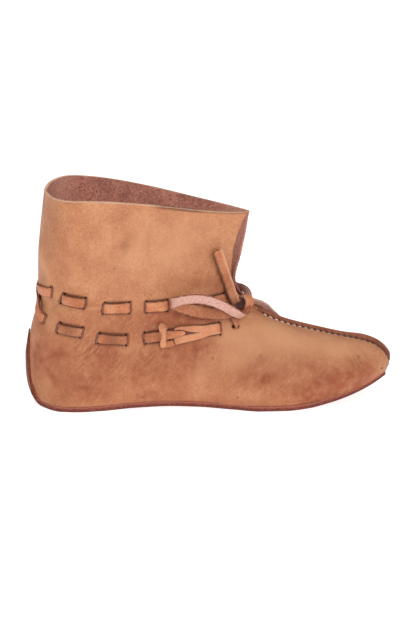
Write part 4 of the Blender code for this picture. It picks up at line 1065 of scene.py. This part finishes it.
def upper_relief(points, facts, fine):
    """How far the skin is moved out: creases, beds, slits, the seam's lips and groove, a tuck at the sole."""
    x, row, away = points[:, 0], facts["row"], facts["away"]
    total = quarter_relief(points, facts["side"]) * off_middle(points, facts)
    vamp = smooth(row / 2.5) * smooth(1.2 * (THROAT_ROW + 1.2 - row))
    swell = 1.0 + 0.3 * np.cos(2.0 * np.pi * facts["travel"] / STITCH_PITCH)
    near_lip = stripe(away, NEAR_LIP) * swell - SEAM_SINK * bell(away / NEAR_SINK_WIDTH)
    height, at, half = FAR_LIP
    height = height + sum(change * smooth((x - start) / way) for change, start, way in FAR_LIP_CHANGES)
    far_lip = height * bell((away - at) / half) - SEAM_SINK * bell(away / FAR_SINK_WIDTH)
    total += vamp * (np.where(facts["side"] > 0.0, far_lip, near_lip) - SEAM_GROOVE * bell(away))
    if fine:
        total -= SLIT_DEPTH * slit_depth(x, points[:, 2])
        total -= 0.5 * bell(facts["up"] / 1.6)
    return total


def upper_shades(points, facts):
    """Where the skin is red, pale, dark or lined, each as a share from 0 to 1.

    The patches come from their table, and some of them are painted light and shade. Painted shade darkens the
    slits, the seam's groove, the edges of the straps' beds where their shadows fall, the line along the sole
    and a line below the near rim of the collar in front, and the pinholes are dark. The far lip of the seam
    is red with a painted shadow beside it, and the skin beside the riser has painted light.
    """
    x, z = points[:, 0], points[:, 2]
    row, away, up = facts["row"], facts["away"], facts["up"]
    near = facts["side"] < 0.0
    shades = {kind: np.zeros(len(points)) for kind in ("red", "pale", "dark", "lines")}
    own = off_middle(points, facts)
    for kind, side, *oval, strength in PATCHES:
        share = 1.0 if side == 0 else own * (facts["side"] == side)
        shades[kind] += share * strength * patch(x, z, oval)
    shades["lines"] += sum(strength * patch(x, z, oval) for strength, *oval in GROWTH)
    # Painted shade in the drawn-in slits and in the seam's groove
    shades["dark"] += SLIT_PAINTED_SHADE * smooth(1.4 * slit_depth(x, z) - 0.4)
    vamp = row < THROAT_ROW + 0.2
    groove_half = 1.0 + 0.8 * smooth((x - 122.0) / 16.0)
    shades["dark"] += GROOVE_PAINTED_SHADE * vamp * bell(away / groove_half)
    # The seam's far lip is red with a painted shadow beside it; painted shade runs along the sole, painted
    # light beside the riser
    shades["red"] += (vamp & ~near) * stripe(away, FAR_LIP_RED)
    shades["dark"] += (vamp & ~near) * stripe(away, FAR_LIP_SHADOW)
    shades["dark"] += stripe(up, ALONG_SOLE_SHADE)
    shades["pale"] += stripe(up, RISER_PAINTED_LIGHT) * riser_share(row)
    # A painted shadow below the near rim of the collar in front
    last_step = dict(zip(COLUMNS, TABLE[-1] - TABLE[-2]))
    forward = np.clip((x - COLLAR_BACK) / COLLAR_LENGTH, 0.0, 1.0)
    below = (LAST_ROW - row) * (last_step["low_z"] + (last_step["top_z"] - last_step["low_z"]) * forward)
    fade = 1.0 - 0.5 * smooth((x + 12.0) / 14.0)
    shades["dark"] += near * collar_front(x) * fade * stripe(below, RIM_SHADOW)
    # Painted shadows along the edges of each strap's bed
    for a, b in outside_runs():
        beside, share = run_distance(x, z, a, b)
        inside = smooth(20.0 * share) * smooth(20.0 * (1.0 - share))
        shades["dark"] += inside * sum(stripe(beside, edge) for edge in BED_EDGE_SHADOWS)
    for at_x, at_z, half in PINHOLES:
        spread = PINHOLE_SPREAD * half
        shades["dark"] += PINHOLE_DARKNESS * near * patch(x, z, (at_x, at_z, 0.0, spread, spread))
    return {kind: np.clip(value, 0.0, 1.0) for kind, value in shades.items()}


def make_upper_skin():
    """The upper's outer skin, with a lip at the sole, and rims that turn in by the wall's thickness.

    The cut rim of the collar leans to the near side all round.
    """
    points, quads, facts = upper_points(SKIN_RINGS, SKIN_LINES)
    x, row, up = points[:, 0], facts["row"], facts["up"]
    behind = smooth((row - 7.5) / 2.0)
    lip = bell(up / LIP_HALF) * smooth((RISER_TIP_ROW - 1.5 - row) / 2.0)
    move = upper_relief(points, facts, True) + (LIP_OUT + LIP_OUT_BEHIND * behind) * lip
    move += RISER_LIP * bell(up / LIP_HALF) * riser_share(row)
    skin = points + move[:, None] * vertex_normals(points, quads)
    skin[:, 2] -= (LIP_DOWN + LIP_DOWN_BEHIND * behind) * lip
    a, b = open_edges(quads, len(points))
    rim = np.unique(a)
    number = numbering(rim, len(points)) + len(points)
    rims = np.stack((b, a, number[a], number[b]), axis=1)
    collar = row > LAST_ROW - 0.001
    kinds = np.concatenate((np.zeros(len(quads), int), np.where(collar[a] & collar[b], 1, 2)))
    turned = skin[rim] - WALL * vertex_normals(skin, quads)[rim]
    lean = -np.clip((points[:, 1] - facts["middle"]) / MIDDLE_BLEND, -1.0, 1.0) * collar
    turned[:, 2] += COLLAR_LEAN_IN * lean[rim]
    skin[:, 2] -= COLLAR_LEAN_OUT * lean
    near = facts["side"] < 0.0
    far_slit = ~near & ~collar & (row > THROAT_ROW + 0.5)
    ahead = np.where(near, NEAR_RIM_DARKNESS * collar_front(x), FAR_RIM_DARKNESS * smooth((x + 105.0) / 40.0))
    rim_dark = collar * (RIM_DARKNESS + ahead) + SLIT_RIM_DARKNESS * far_slit
    shades = upper_shades(points, facts)
    shades = {kind: np.concatenate((value, value[rim])) for kind, value in shades.items()}
    shades["dark"][len(points):] += rim_dark[rim]
    add_piece("upper_skin", np.concatenate((skin, turned)), np.concatenate((quads, rims)),
              (UPPER_GRAIN, UPPER_EDGE, UPPER_FLESH), kinds, shades, ("upper",))


def make_lining():
    """The upper's flesh side: a plainer skin one wall further in, with painted light in front and high at the
    back.
    """
    points, quads, facts = upper_points(LINING_RINGS, LINING_LINES)
    move = upper_relief(points, facts, False) - WALL
    lining = points + move[:, None] * vertex_normals(points, quads)
    x, z = lining[:, 0], lining[:, 2]
    # Painted light on the inside, in front and high at the back
    front = 0.3 * smooth((x - 5.0) / 15.0) * smooth((z - 75.0) / 12.0)
    back = 0.4 * smooth((-95.0 - x) / 25.0) * smooth((z - 120.0) / 20.0)
    add_piece("upper_lining", lining, quads[:, ::-1], (UPPER_FLESH,),
              values={"pale": front + back})


def ribbon(points, across, width, thick, swap=False, shade=0.0, edges=(0.0, 0.0)):
    """A leather band swept along points: rounded edges, grain on its face, flesh behind, and capped ends.

    The profile is a flat box with a slight crown. Swapped, the grain is behind. Shade darkens it along its
    way, and edges its two long edges; a shade below nothing makes it paler.
    """
    along = np.gradient(points, axis=0)
    along /= np.linalg.norm(along, axis=1)[:, None]
    across = across - along * np.sum(across * along, axis=1)[:, None]
    across /= np.linalg.norm(across, axis=1)[:, None]
    face = np.cross(along, across)
    profile = np.array(BAND_PROFILE[::-1])
    kinds = [BAND_SWAPPED[kind] if swap else kind for kind in BAND_KINDS[::-1]]
    width = np.broadcast_to(width, len(points))[:, None]
    thick = np.broadcast_to(thick, len(points))[:, None]
    rings = np.stack([points + w * width * across + t * thick * face for w, t in profile], axis=1)
    size = len(profile)
    index = np.arange(size * len(points)).reshape(-1, size)
    sides = grid_quads(np.concatenate((index, index[:, :1]), axis=1))[:, ::-1]
    verts = np.concatenate((rings.reshape(-1, 3), rings[:1].mean(axis=1), rings[-1:].mean(axis=1)))
    centre = np.full(size, index.size)
    caps = np.concatenate((np.stack((index[0], np.roll(index[0], -1), centre), axis=1),
                           np.stack((np.roll(index[-1], -1), index[-1], centre + 1), axis=1)))
    slots = np.concatenate((np.tile(np.roll(kinds, -1), len(points) - 1), np.full(2 * size, 2)))
    shade = np.broadcast_to(shade, len(points))
    reach = profile[:, 0]
    edge = edges[0] * (reach < -BAND_EDGE) + edges[1] * (reach > BAND_EDGE)
    shade = np.concatenate(((shade[:, None] + edge).reshape(-1), shade[:1], shade[-1:]))
    return verts, sides, caps, slots, shade


def add_ribbon(name, bands, replaced=()):
    """One piece made of one or more bands of the thong."""
    starts = np.cumsum([0] + [len(band[0]) for band in bands])
    faces = [face for band, start in zip(bands, starts)
             for face in (band[1] + start).tolist() + (band[2] + start).tolist()]
    shade = np.concatenate([band[4] for band in bands])
    return add_piece(name, np.concatenate([band[0] for band in bands]), faces, THONG,
                     np.concatenate([band[3] for band in bands]),
                     {"dark": np.clip(shade, 0.0, 1.0), "pale": np.clip(-shade, 0.0, 1.0)}, replaced)


def smooth_path(rows, step):
    """Points about a step apart on a smooth curve through the rows of a table, column by column."""
    legs = np.linalg.norm(np.diff(rows[:, :3], axis=0), axis=1)
    at = np.concatenate(([0.0], np.cumsum(legs)))
    slope = np.gradient(rows, at, axis=0)
    spot = np.linspace(0.0, at[-1], max(4, int(round(at[-1] / step)) + 1))
    leg = np.clip(np.searchsorted(at, spot, side="right") - 1, 0, len(legs) - 1)
    size = legs[leg][:, None]
    t = (spot - at[leg])[:, None] / size
    start, finish = rows[leg], rows[leg + 1]
    return (start + (finish - start) * t * t * (3.0 - 2.0 * t) + slope[leg] * size * t * (1.0 - t) ** 2
            - slope[leg + 1] * size * t * t * (1.0 - t))


def soften(points, times):
    """The same path with its kinks evened out."""
    for _ in range(times):
        inner = 0.25 * points[:-2] + 0.5 * points[1:-1] + 0.25 * points[2:]
        points = np.concatenate((points[:1], inner, points[-1:]))
    return points


def weave(stops, side):
    """Points and normals of a thong along one side: inside at first, then through a slit at each stop."""
    places, rides = [], []
    outside = False
    middle = 0.5 * (RIDE_OUT + RIDE_IN)
    for a, b in zip(stops[:-1], stops[1:]):
        a, b = np.array(a), np.array(b)
        far = np.linalg.norm(b - a)
        count = max(5, int(far / RUN_STEP))
        way = (np.arange(count) + 0.5) / count
        edge = smooth(np.minimum(way, 1.0 - way) * far / DIVE)
        level = RIDE_OUT + RUN_BULGE * np.sin(np.pi * way) if outside else np.full(count, RIDE_IN)
        places.append(a + (b - a) * way[:, None])
        rides.append(middle + edge * (level - middle))
        outside = not outside
    points, normals = on_quarter(np.concatenate(places), side)
    ride = np.concatenate(rides) + quarter_relief(points, np.full(len(points), side))
    return points + ride[:, None] * normals, normals


def round_heel(near_slit, far_slit, lift, climb):
    """Points and normals from a near slit, round the back of the ankle, to a slit on the far side."""
    row, share = find_section(np.array((near_slit, far_slit)))
    turn = np.arccos(np.clip(1.0 - share / sections_at(row)["wide_at"], -1.0, 1.0))
    way = np.linspace(BACK_START, 1.0 - BACK_START, BACK_STEPS)
    begun = smooth(-climb[0] / (climb[1] - climb[0]))
    climbed = (smooth((way - climb[0]) / (climb[1] - climb[0])) - begun) / (1.0 - begun)
    rows = row[0] + (row[1] - row[0]) * climbed
    angle = -turn[0] + (turn[1] + turn[0]) * way

    def skin(rows, angle):
        """Points of the skin at row numbers and angles from the back line, negative on the near side."""
        share = sections_at(rows)["wide_at"] * (1.0 - np.cos(angle))
        return np.where((angle < 0.0)[:, None], skin_at(rows, share, NEAR), skin_at(rows, share, FAR))

    points = skin(rows, angle)
    along = skin(rows, angle + TURN_NUDGE) - skin(rows, angle - TURN_NUDGE)
    rise = skin(rows + TURN_NUDGE, angle) - skin(rows - TURN_NUDGE, angle)
    normal = np.cross(rise, along)
    normal /= np.linalg.norm(normal, axis=1)[:, None]
    ride = BACK_RIDE + uneven(points) + lift * smooth(way / 0.3) * smooth((1.0 - way) / 0.2)
    return points + ride[:, None] * normal, normal


def strap_width(points, low, sunk, heel_narrow):
    """The thong's width along its way: a bit uneven, narrower low behind, under the join and at its end."""
    x, y, z = points.T
    step = np.arange(len(points))
    share = 1.0 + sum(size * np.sin(turn * step + start) for size, turn, start in WIDTH_WAVES)
    share = share * (1.0 - SUNK_NARROW * sunk)
    first, last, wider = PAST_JOIN
    share = share * np.where(low & (x > first) & (x < last), wider, 1.0)
    start, way, left = BEHIND_JOIN
    share = share * np.where(low, left + (1.0 - left) * smooth((x - start) / way), 1.0)
    start, way, lost = FRONT_END
    share = share * np.where(z < FRONT_END_TOP, 1.0 - lost * smooth((x - start) / way), 1.0)
    heel = smooth((HEEL_END[0] - x) / HEEL_END[1]) * smooth((HEEL_TOP[0] - z) / HEEL_TOP[1])
    return THONG_WIDTH * share * np.where(y < 0.0, 1.0 - heel_narrow * heel, 1.0)


def make_thongs():
    """The two lengths of the ankle thong, each from the throat back, round the heel, and forward again.

    Under the slit join the near low run is narrower, sinks and is darkened with painted shade. Past its last
    slit it comes out of a hole.
    """
    for name, near_stops, far_stops, lift, climb in THONGS:
        drawn = near_stops is LOW_RUN
        near = weave(near_stops[-2::-1] if drawn else near_stops[::-1], NEAR)
        back = round_heel(near_stops[0], far_stops[0], lift, climb)
        far = weave(far_stops, FAR)
        points = soften(np.concatenate((near[0], back[0], far[0])), 2)
        normals = soften(np.concatenate((near[1], back[1], far[1])), 3)
        across = soften(np.cross(normals, np.gradient(points, axis=0)), 3)
        x, z, near_side = points[:, 0], points[:, 2], points[:, 1] < 0.0
        low = near_side & (z < LOW_TOP)
        sunk = low * smooth((x - SUNK_FROM[0]) / SUNK_FROM[1]) * smooth((SUNK_TO[0] - x) / SUNK_TO[1])
        width = strap_width(points, low, sunk, HEEL_NARROW if drawn else 0.0)
        shade = sum(share * patch(x, z, (*spot, 0.0, *STRAP_OVAL)) for *spot, share in STRAP_SHADES)
        # Painted shade where the low run sinks under the join
        shade = np.clip(np.where(near_side, shade, FAR_SHADE) + SUNK_SHADE * sunk, *SHADE_LIMITS)
        points = points - (SUNK_DEPTH * sunk)[:, None] * normals
        bands = [ribbon(points, across, width, THONG_THICK, shade=shade)]
        if drawn:
            bands.append(on_skin_band(DRAWN_STRAP, THONG_THICK, DRAWN_SHADE))
        add_ribbon(name + "_strap", bands, (name,))


def make_bow():
    """The bow: the knot's wrap, which is an oval ring of thong, and four bands, each a flat cord."""
    turn = np.linspace(0.0, 2.0 * np.pi, WRAP_STEPS)[:, None]
    path = KNOT_PLACE + WRAP_SHIFT + np.cos(turn) * WRAP_UP + np.sin(turn) * WRAP_OUT
    across = np.broadcast_to(WRAP_ACROSS, path.shape)
    wrap = ribbon(path, across, WRAP_WIDTH, THONG_THICK, shade=WRAP_SHADE)
    knot = add_ribbon("bow_knot_wrap", [wrap], ("bow_knot",))
    for name, table in BOW_BANDS.items():
        length, far_end, looks, flesh_out, edges = BOW_CORDS[name]
        rows = smooth_path(np.array(table), BAND_STEP)
        away = np.linalg.norm(rows[:, :3] - KNOT_PLACE, axis=1)
        rows = rows[away > KNOT_CORE]
        step = np.arange(len(rows))
        at, wide, dark = np.array(looks).T
        width = np.interp(step / step[-1], at, wide) + 0.12 * np.sin(0.35 * step) + 0.1 * np.sin(0.9 * step)
        shade = np.interp(step / step[-1], at, dark)
        band = ribbon(rows[:, :3], rows[:, 3:], width, THONG_THICK, flesh_out, shade, edges)
        piece = add_ribbon(name + "_band", [band], (name,))
        path = (rows[:, :3] - CENTRE) * MM


def on_skin_band(rows, thick, shade):
    """A band on the inner side whose rows are x, z, height over the skin, and width."""
    x, z, height, width = np.array(rows).T
    fine = smooth_path(np.column_stack((x, z, 0.0 * x, height, width)), SKIN_BAND_STEP)
    skin, normals = on_quarter(fine[:, :2], NEAR)
    ride = fine[:, 3] + quarter_relief(skin, np.full(len(skin), NEAR))
    points = skin + ride[:, None] * normals
    return ribbon(points, np.cross(normals, np.gradient(points, axis=0)), fine[:, 4], thick, shade=shade)


def make_join():
    """The slit join: a tab through the strap's slit, a short end, a turn across and the strap's two legs."""
    for name, bands in JOIN_BANDS.items():
        add_ribbon(name + "_band", [on_skin_band(*band) for band in bands], (name,))


def make_slit_edges():
    """The cut edges of the slits: each has painted shade where the strap goes in, with a pale lip on its
    other side.

    A small grid, across the slit by beside it, is laid on the skin at every slit and raised by its heights.
    """
    u, v = np.meshgrid(np.linspace(-1.0, 1.0, SLIT_STEPS), SLIT_BESIDE, indexing="ij")
    rise = (np.broadcast_to(SLIT_HEIGHT, u.shape) - 0.5 * u ** 10).reshape(-1)
    index = np.arange(u.size).reshape(u.shape)
    # Faces on the strap's side of each slit, and all of the small hole, get the painted shade
    dark = np.broadcast_to(SLIT_BESIDE[:-1] < 0.05, (SLIT_STEPS - 1, len(SLIT_BESIDE) - 1)).astype(int)
    points, quads, kinds = [], [], []
    for side in (NEAR, FAR):
        flip = 1 if side == FAR else -1
        for spot, out, up, half in slit_frames():
            lip = SLIT_LIP_AHEAD if out[0] < 0.0 else SLIT_LIP_BEHIND
            bend = np.where(v > 0.0, lip * (1.0 - 0.6 * u ** 4), 1.0)
            places = spot + (v * bend).reshape(-1, 1) * out + (u * (half + SLIT_OVERLAP)).reshape(-1, 1) * up
            skin, normals = on_quarter(places, side)
            relief = quarter_relief(skin, np.full(len(skin), side)) + rise
            quads.append(grid_quads(index[:, ::flip]) + u.size * len(points))
            points.append(skin + relief[:, None] * normals)
            kind = np.ones_like(dark) if half == HOLE_HALF else dark
            kinds.append(kind[:, ::flip].reshape(-1))
    add_piece("slit_edges", np.concatenate(points), np.concatenate(quads), (SLIT_EDGE, SLIT_SHADE),
              np.concatenate(kinds))


def tube(points, radius, sides=8):
    """A round cord along points, as points and quads, with open ends."""
    along = np.gradient(points, axis=0)
    along /= np.linalg.norm(along, axis=1)[:, None]
    side = np.cross(along, np.array((0.0, 0.0, 1.0)))
    side /= np.linalg.norm(side, axis=1)[:, None]
    other = np.cross(side, along)
    turn = np.linspace(0.0, 2.0 * np.pi, sides, endpoint=False)
    radius = np.broadcast_to(radius, len(points))[:, None, None]
    rings = points[:, None] + radius * (np.cos(turn)[None, :, None] * side[:, None]
                                        + np.sin(turn)[None, :, None] * other[:, None])
    index = np.arange(rings.shape[0] * sides).reshape(-1, sides)
    return rings.reshape(-1, 3), grid_quads(np.concatenate((index, index[:, :1]), axis=1))


def add_tubes(name, tubes, material, fade=0.0):
    """One piece of several cords, which may get darker from the throat to the toe."""
    counts = np.cumsum([0] + [len(points) for points, _ in tubes])
    points = np.concatenate([points for points, _ in tubes])
    quads = np.concatenate([quads + count for (_, quads), count in zip(tubes, counts)])
    dark = fade * smooth((points[:, 0] - 50.0) / 72.0)
    add_piece(name, points, quads, (material,), values={"dark": dark})


def make_seam():
    """The vamp seam: pale scallops of the cut edge on the near lip, and a slanting stitch between each pair.

    A scallop is a short cord that swells in its middle, a stitch one that arches across the sunk seam.
    """
    rows = np.linspace(0.35, THROAT_ROW - 0.1, 900)
    c = sections_at(rows)
    line = np.stack((c["top_x"], c["mid_y"], c["top_z"]), axis=1)
    travel = np.concatenate(([0.0], np.cumsum(np.linalg.norm(np.diff(line, axis=0), axis=1))))
    along = np.gradient(line, axis=0)
    along /= np.linalg.norm(along, axis=1)[:, None]
    across = np.broadcast_to(np.array((0.0, -1.0, 0.0)), line.shape)
    rise = np.cross(across, along)
    rise /= np.linalg.norm(rise, axis=1)[:, None]
    rise *= np.sign(rise[:, 2:] + 1e-9)

    def at(distance, beside, height):
        """Points at distances along the seam, so far beside it to the near side and so high over it."""
        spot = [np.stack([np.interp(distance, travel, part[:, i]) for i in range(3)], axis=-1)
                for part in (line, across, rise)]
        return spot[0] + beside[:, None] * spot[1] + height[:, None] * spot[2]

    scallops, stitches = [], []
    t = np.linspace(-1.0, 1.0, 11)
    swell = np.sqrt(np.clip(1.0 - t ** 2, 0.0, 1.0))
    beside = np.full(len(t), SCALLOP_BESIDE)
    height = SCALLOP_HEIGHT + SCALLOP_RISE * swell - SEAM_SINK
    radius = SCALLOP_RADIUS + SCALLOP_SWELL * swell
    share = np.linspace(0.0, 1.0, 9)
    arch = STITCH_ARCH * np.sin(np.pi * share) + STITCH_CLIMB * share ** 2 - STITCH_SINK - SEAM_SINK
    for middle in np.arange(SEAM_START, travel[-1] - SEAM_END, STITCH_PITCH):
        scallop = at(middle + SCALLOP_HALF * t, beside, height)
        scallops.append(tube(scallop, radius))
        between = middle + 0.5 * STITCH_PITCH
        stitch = at(between + STITCH_LEAN * (share - 0.5), STITCH_BESIDE - STITCH_ACROSS * share, arch)
        stitches.append(tube(stitch, STITCH_RADIUS, 6))
    add_tubes("seam_scallops", scallops, SEAM_EDGE, 0.9)
    add_tubes("seam_stitches", stitches, THREAD)


def changing(amount, rows):
    """An amount at row numbers, with its change that starts at a row and is done after so many rows."""
    first, change, start, way = amount
    return first + change * smooth((rows - start) / way)


def sole_sheet(rows, columns):
    """The sole's plain sheet as rings by lines, from rim to rim: flat under the foot, turned up the heel."""
    sides = []
    for side in (NEAR, FAR):
        flat = on_side(columns, side, "flat")[0]
        rim = np.maximum(flat + changing(SOLE_OUT, rows), columns["cut"] + changing(RISER_OUT, rows))
        edge = np.maximum(flat, columns["cut"])
        rim[-1] = TIP_RIM
        edge[-1] = TIP_EDGE
        sides.append(side * np.concatenate((rim[:, None], edge[:, None] * SOLE_SHARES), axis=1))
    across = np.concatenate((sides[0], sides[1][:, -2::-1]), axis=1)
    c = {name: value[:, None] for name, value in columns.items()}
    wide = np.where(across < 0.0, c["wide_in"], c["wide_out"])
    flat = np.where(across < 0.0, c["flat_in"], c["flat_out"])
    reach = np.clip(np.abs(across), flat, wide)
    turned = 1.0 - np.sqrt(np.clip((1.0 - (reach / wide) ** 2) / (1.0 - (flat / wide) ** 2), 0.0, 1.0))
    along = c["wrap"] * c["wide_at"] * turned
    return np.stack((c["low_x"] + along * (c["top_x"] - c["low_x"]), c["mid_y"] + across,
                     c["low_z"] + along * (c["top_z"] - c["low_z"])), axis=2)


def round_toe(sheet):
    """The sheet with narrower rings before its first one, so that the toe ends round."""
    step = sheet[0] - sheet[1]
    step /= np.linalg.norm(step, axis=1)[:, None]
    middle = sheet[0, :, 1].mean()
    tips = []
    for forward, narrow in SOLE_TIPS:
        tip = sheet[0] + forward * step
        tip[:, 1] = middle + narrow * (sheet[0, :, 1] - middle)
        tips.append(tip[None])
    return np.concatenate((*tips, sheet))


def make_sole():
    """The sole: its sheet as a top and a bottom one thickness apart, and a cut edge of two rounded layers.

    The thickness lessens toward the toe, up the heel and toward the riser's tip. The cut edge is paler along
    its top, partly its own tone and partly a painted highlight, and has painted shade along its lower layer.
    """
    rows = ring_rows(SOLE_RINGS)
    rows = np.append(rows[rows < RISER_TIP_ROW], (RISER_TIP_ROW, RISER_TIP_ROW + 0.25))
    c = sections_at(rows)
    sheet = round_toe(sole_sheet(rows, c))
    toe = TOE_SLIM + (1.0 - TOE_SLIM) * smooth((133.0 - c["low_x"]) / 40.0)
    tip = changing(RISER_TIP_SLIM, rows)
    thick = (SOLE_THICK + (RISER_THICK - SOLE_THICK) * c["wrap"]) * toe * tip
    thick = np.concatenate((np.full(len(SOLE_TIPS), SOLE_THICK * TIP_SLIM), thick))
    below = changing(SOLE_BELOW, rows) + RISER_BELOW * c["wrap"]
    below = np.concatenate((np.full(len(SOLE_TIPS), SOLE_BELOW[0]), below))
    thick, below = (np.repeat(value, sheet.shape[1])[:, None] for value in (thick, below))
    points = sheet.reshape(-1, 3)
    count = len(points)
    quads = grid_quads(np.arange(count).reshape(sheet.shape[:2]))
    down = -vertex_normals(points, quads)
    top = points + below * down
    bottom = top + thick * down
    a, b = open_edges(quads, count)
    loop = np.unique(a)
    ahead, behind = np.zeros_like(points), np.zeros_like(points)
    ahead[a] = points[b]
    behind[b] = points[a]
    out = np.cross(ahead[loop] - behind[loop], -down[loop])
    out /= np.linalg.norm(out, axis=1)[:, None]
    belts = [top[loop] + share * thick[loop] * down[loop] + bulge * out for share, bulge in SOLE_LEVELS]
    faces = [quads, quads[:, ::-1] + count]
    for belt in range(len(SOLE_LEVELS) - 1):
        first = numbering(loop, count) + 2 * count + belt * len(loop)
        second = first + len(loop)
        faces.append(np.stack((first[b], first[a], second[a], second[b]), axis=1))
    kinds = np.repeat((0, 1), (2 * len(quads), (len(SOLE_LEVELS) - 1) * len(a)))
    # The cut edge's top is paler, partly its own tone and partly a painted highlight; its lower layer has
    # painted shade
    drop = np.concatenate((np.full(2 * count, 0.45), np.repeat(np.array(SOLE_LEVELS)[:, 0], len(loop))))
    shades = {"pale": 0.6 * smooth((0.4 - drop) / 0.3), "dark": 0.4 * smooth((drop - 0.45) / 0.2)}
    add_piece("sole_leather_edge", np.concatenate((top, bottom, *belts)), np.concatenate(faces),
              (SOLE_FACE, SOLE_EDGE), kinds, shades, ("sole",))


def make_camera():
    """The camera at the photograph's place, with a lens that frames the picture's height at AIM."""
    back = np.array((np.sin(CAMERA_ROUND) * np.cos(CAMERA_RISE), -np.cos(CAMERA_ROUND) * np.cos(CAMERA_RISE),
                     np.sin(CAMERA_RISE)))
    data = bpy.data.cameras.new("camera")
    data.sensor_fit = 'VERTICAL'
    data.sensor_height = SENSOR
    data.lens = SENSOR * CAMERA_AWAY / PICTURE_HEIGHT
    data.clip_end = 20.0
    camera = bpy.data.objects.new("camera", data)
    camera.location = ((AIM + CAMERA_AWAY * back) * MM).tolist()
    camera.rotation_euler = (0.5 * np.pi - CAMERA_RISE, 0.0, CAMERA_ROUND)
    bpy.context.scene.collection.objects.link(camera)
    bpy.context.scene.camera = camera


def make_lights():
    """Soft studio light: a large lamp high in front, one from each side, one above, and a bright world."""
    scene = bpy.context.scene
    scene.view_settings.view_transform = 'Standard'
    world = bpy.data.worlds.new("studio")
    world.use_nodes = True
    background = world.node_tree.nodes["Background"]
    background.inputs[0].default_value = (1.0, 1.0, 1.0, 1.0)
    background.inputs[1].default_value = WORLD_LIGHT
    scene.world = world
    for name, spot, size, power in LAMPS:
        data = bpy.data.lights.new(name, 'AREA')
        data.size = size
        data.energy = power
        lamp = bpy.data.objects.new(name, data)
        lamp.location = spot
        x, y, z = np.array(LAMP_AIM) - np.array(spot)
        lamp.rotation_euler = (np.arctan2(np.hypot(x, y), -z), 0.0, np.arctan2(-x, y))
        scene.collection.objects.link(lamp)


def make_floor():
    """A wide white floor that glows a little, for the stage only."""
    mesh = bpy.data.meshes.new("floor")
    corners = [(FLOOR_HALF * x, FLOOR_HALF * y, 0.0) for x, y in ((-1, -1), (1, -1), (1, 1), (-1, 1))]
    mesh.from_pydata(corners, [], [(0, 1, 2, 3)])
    floor = bpy.data.objects.new("floor", mesh)
    material, _, shader = new_material("floor_white", 0.9)
    shader.inputs["Base Color"].default_value = (0.6, 0.6, 0.6, 1.0)
    shader.inputs["Emission Color"].default_value = (1.0, 1.0, 1.0, 1.0)
    shader.inputs["Emission Strength"].default_value = 0.8
    mesh.materials.append(material)
    bpy.context.scene.collection.objects.link(floor)


make_camera()
make_bow()
make_upper_skin()
make_lining()
make_sole()
make_thongs()
make_join()
make_slit_edges()
make_seam()
make_lights()
make_floor()
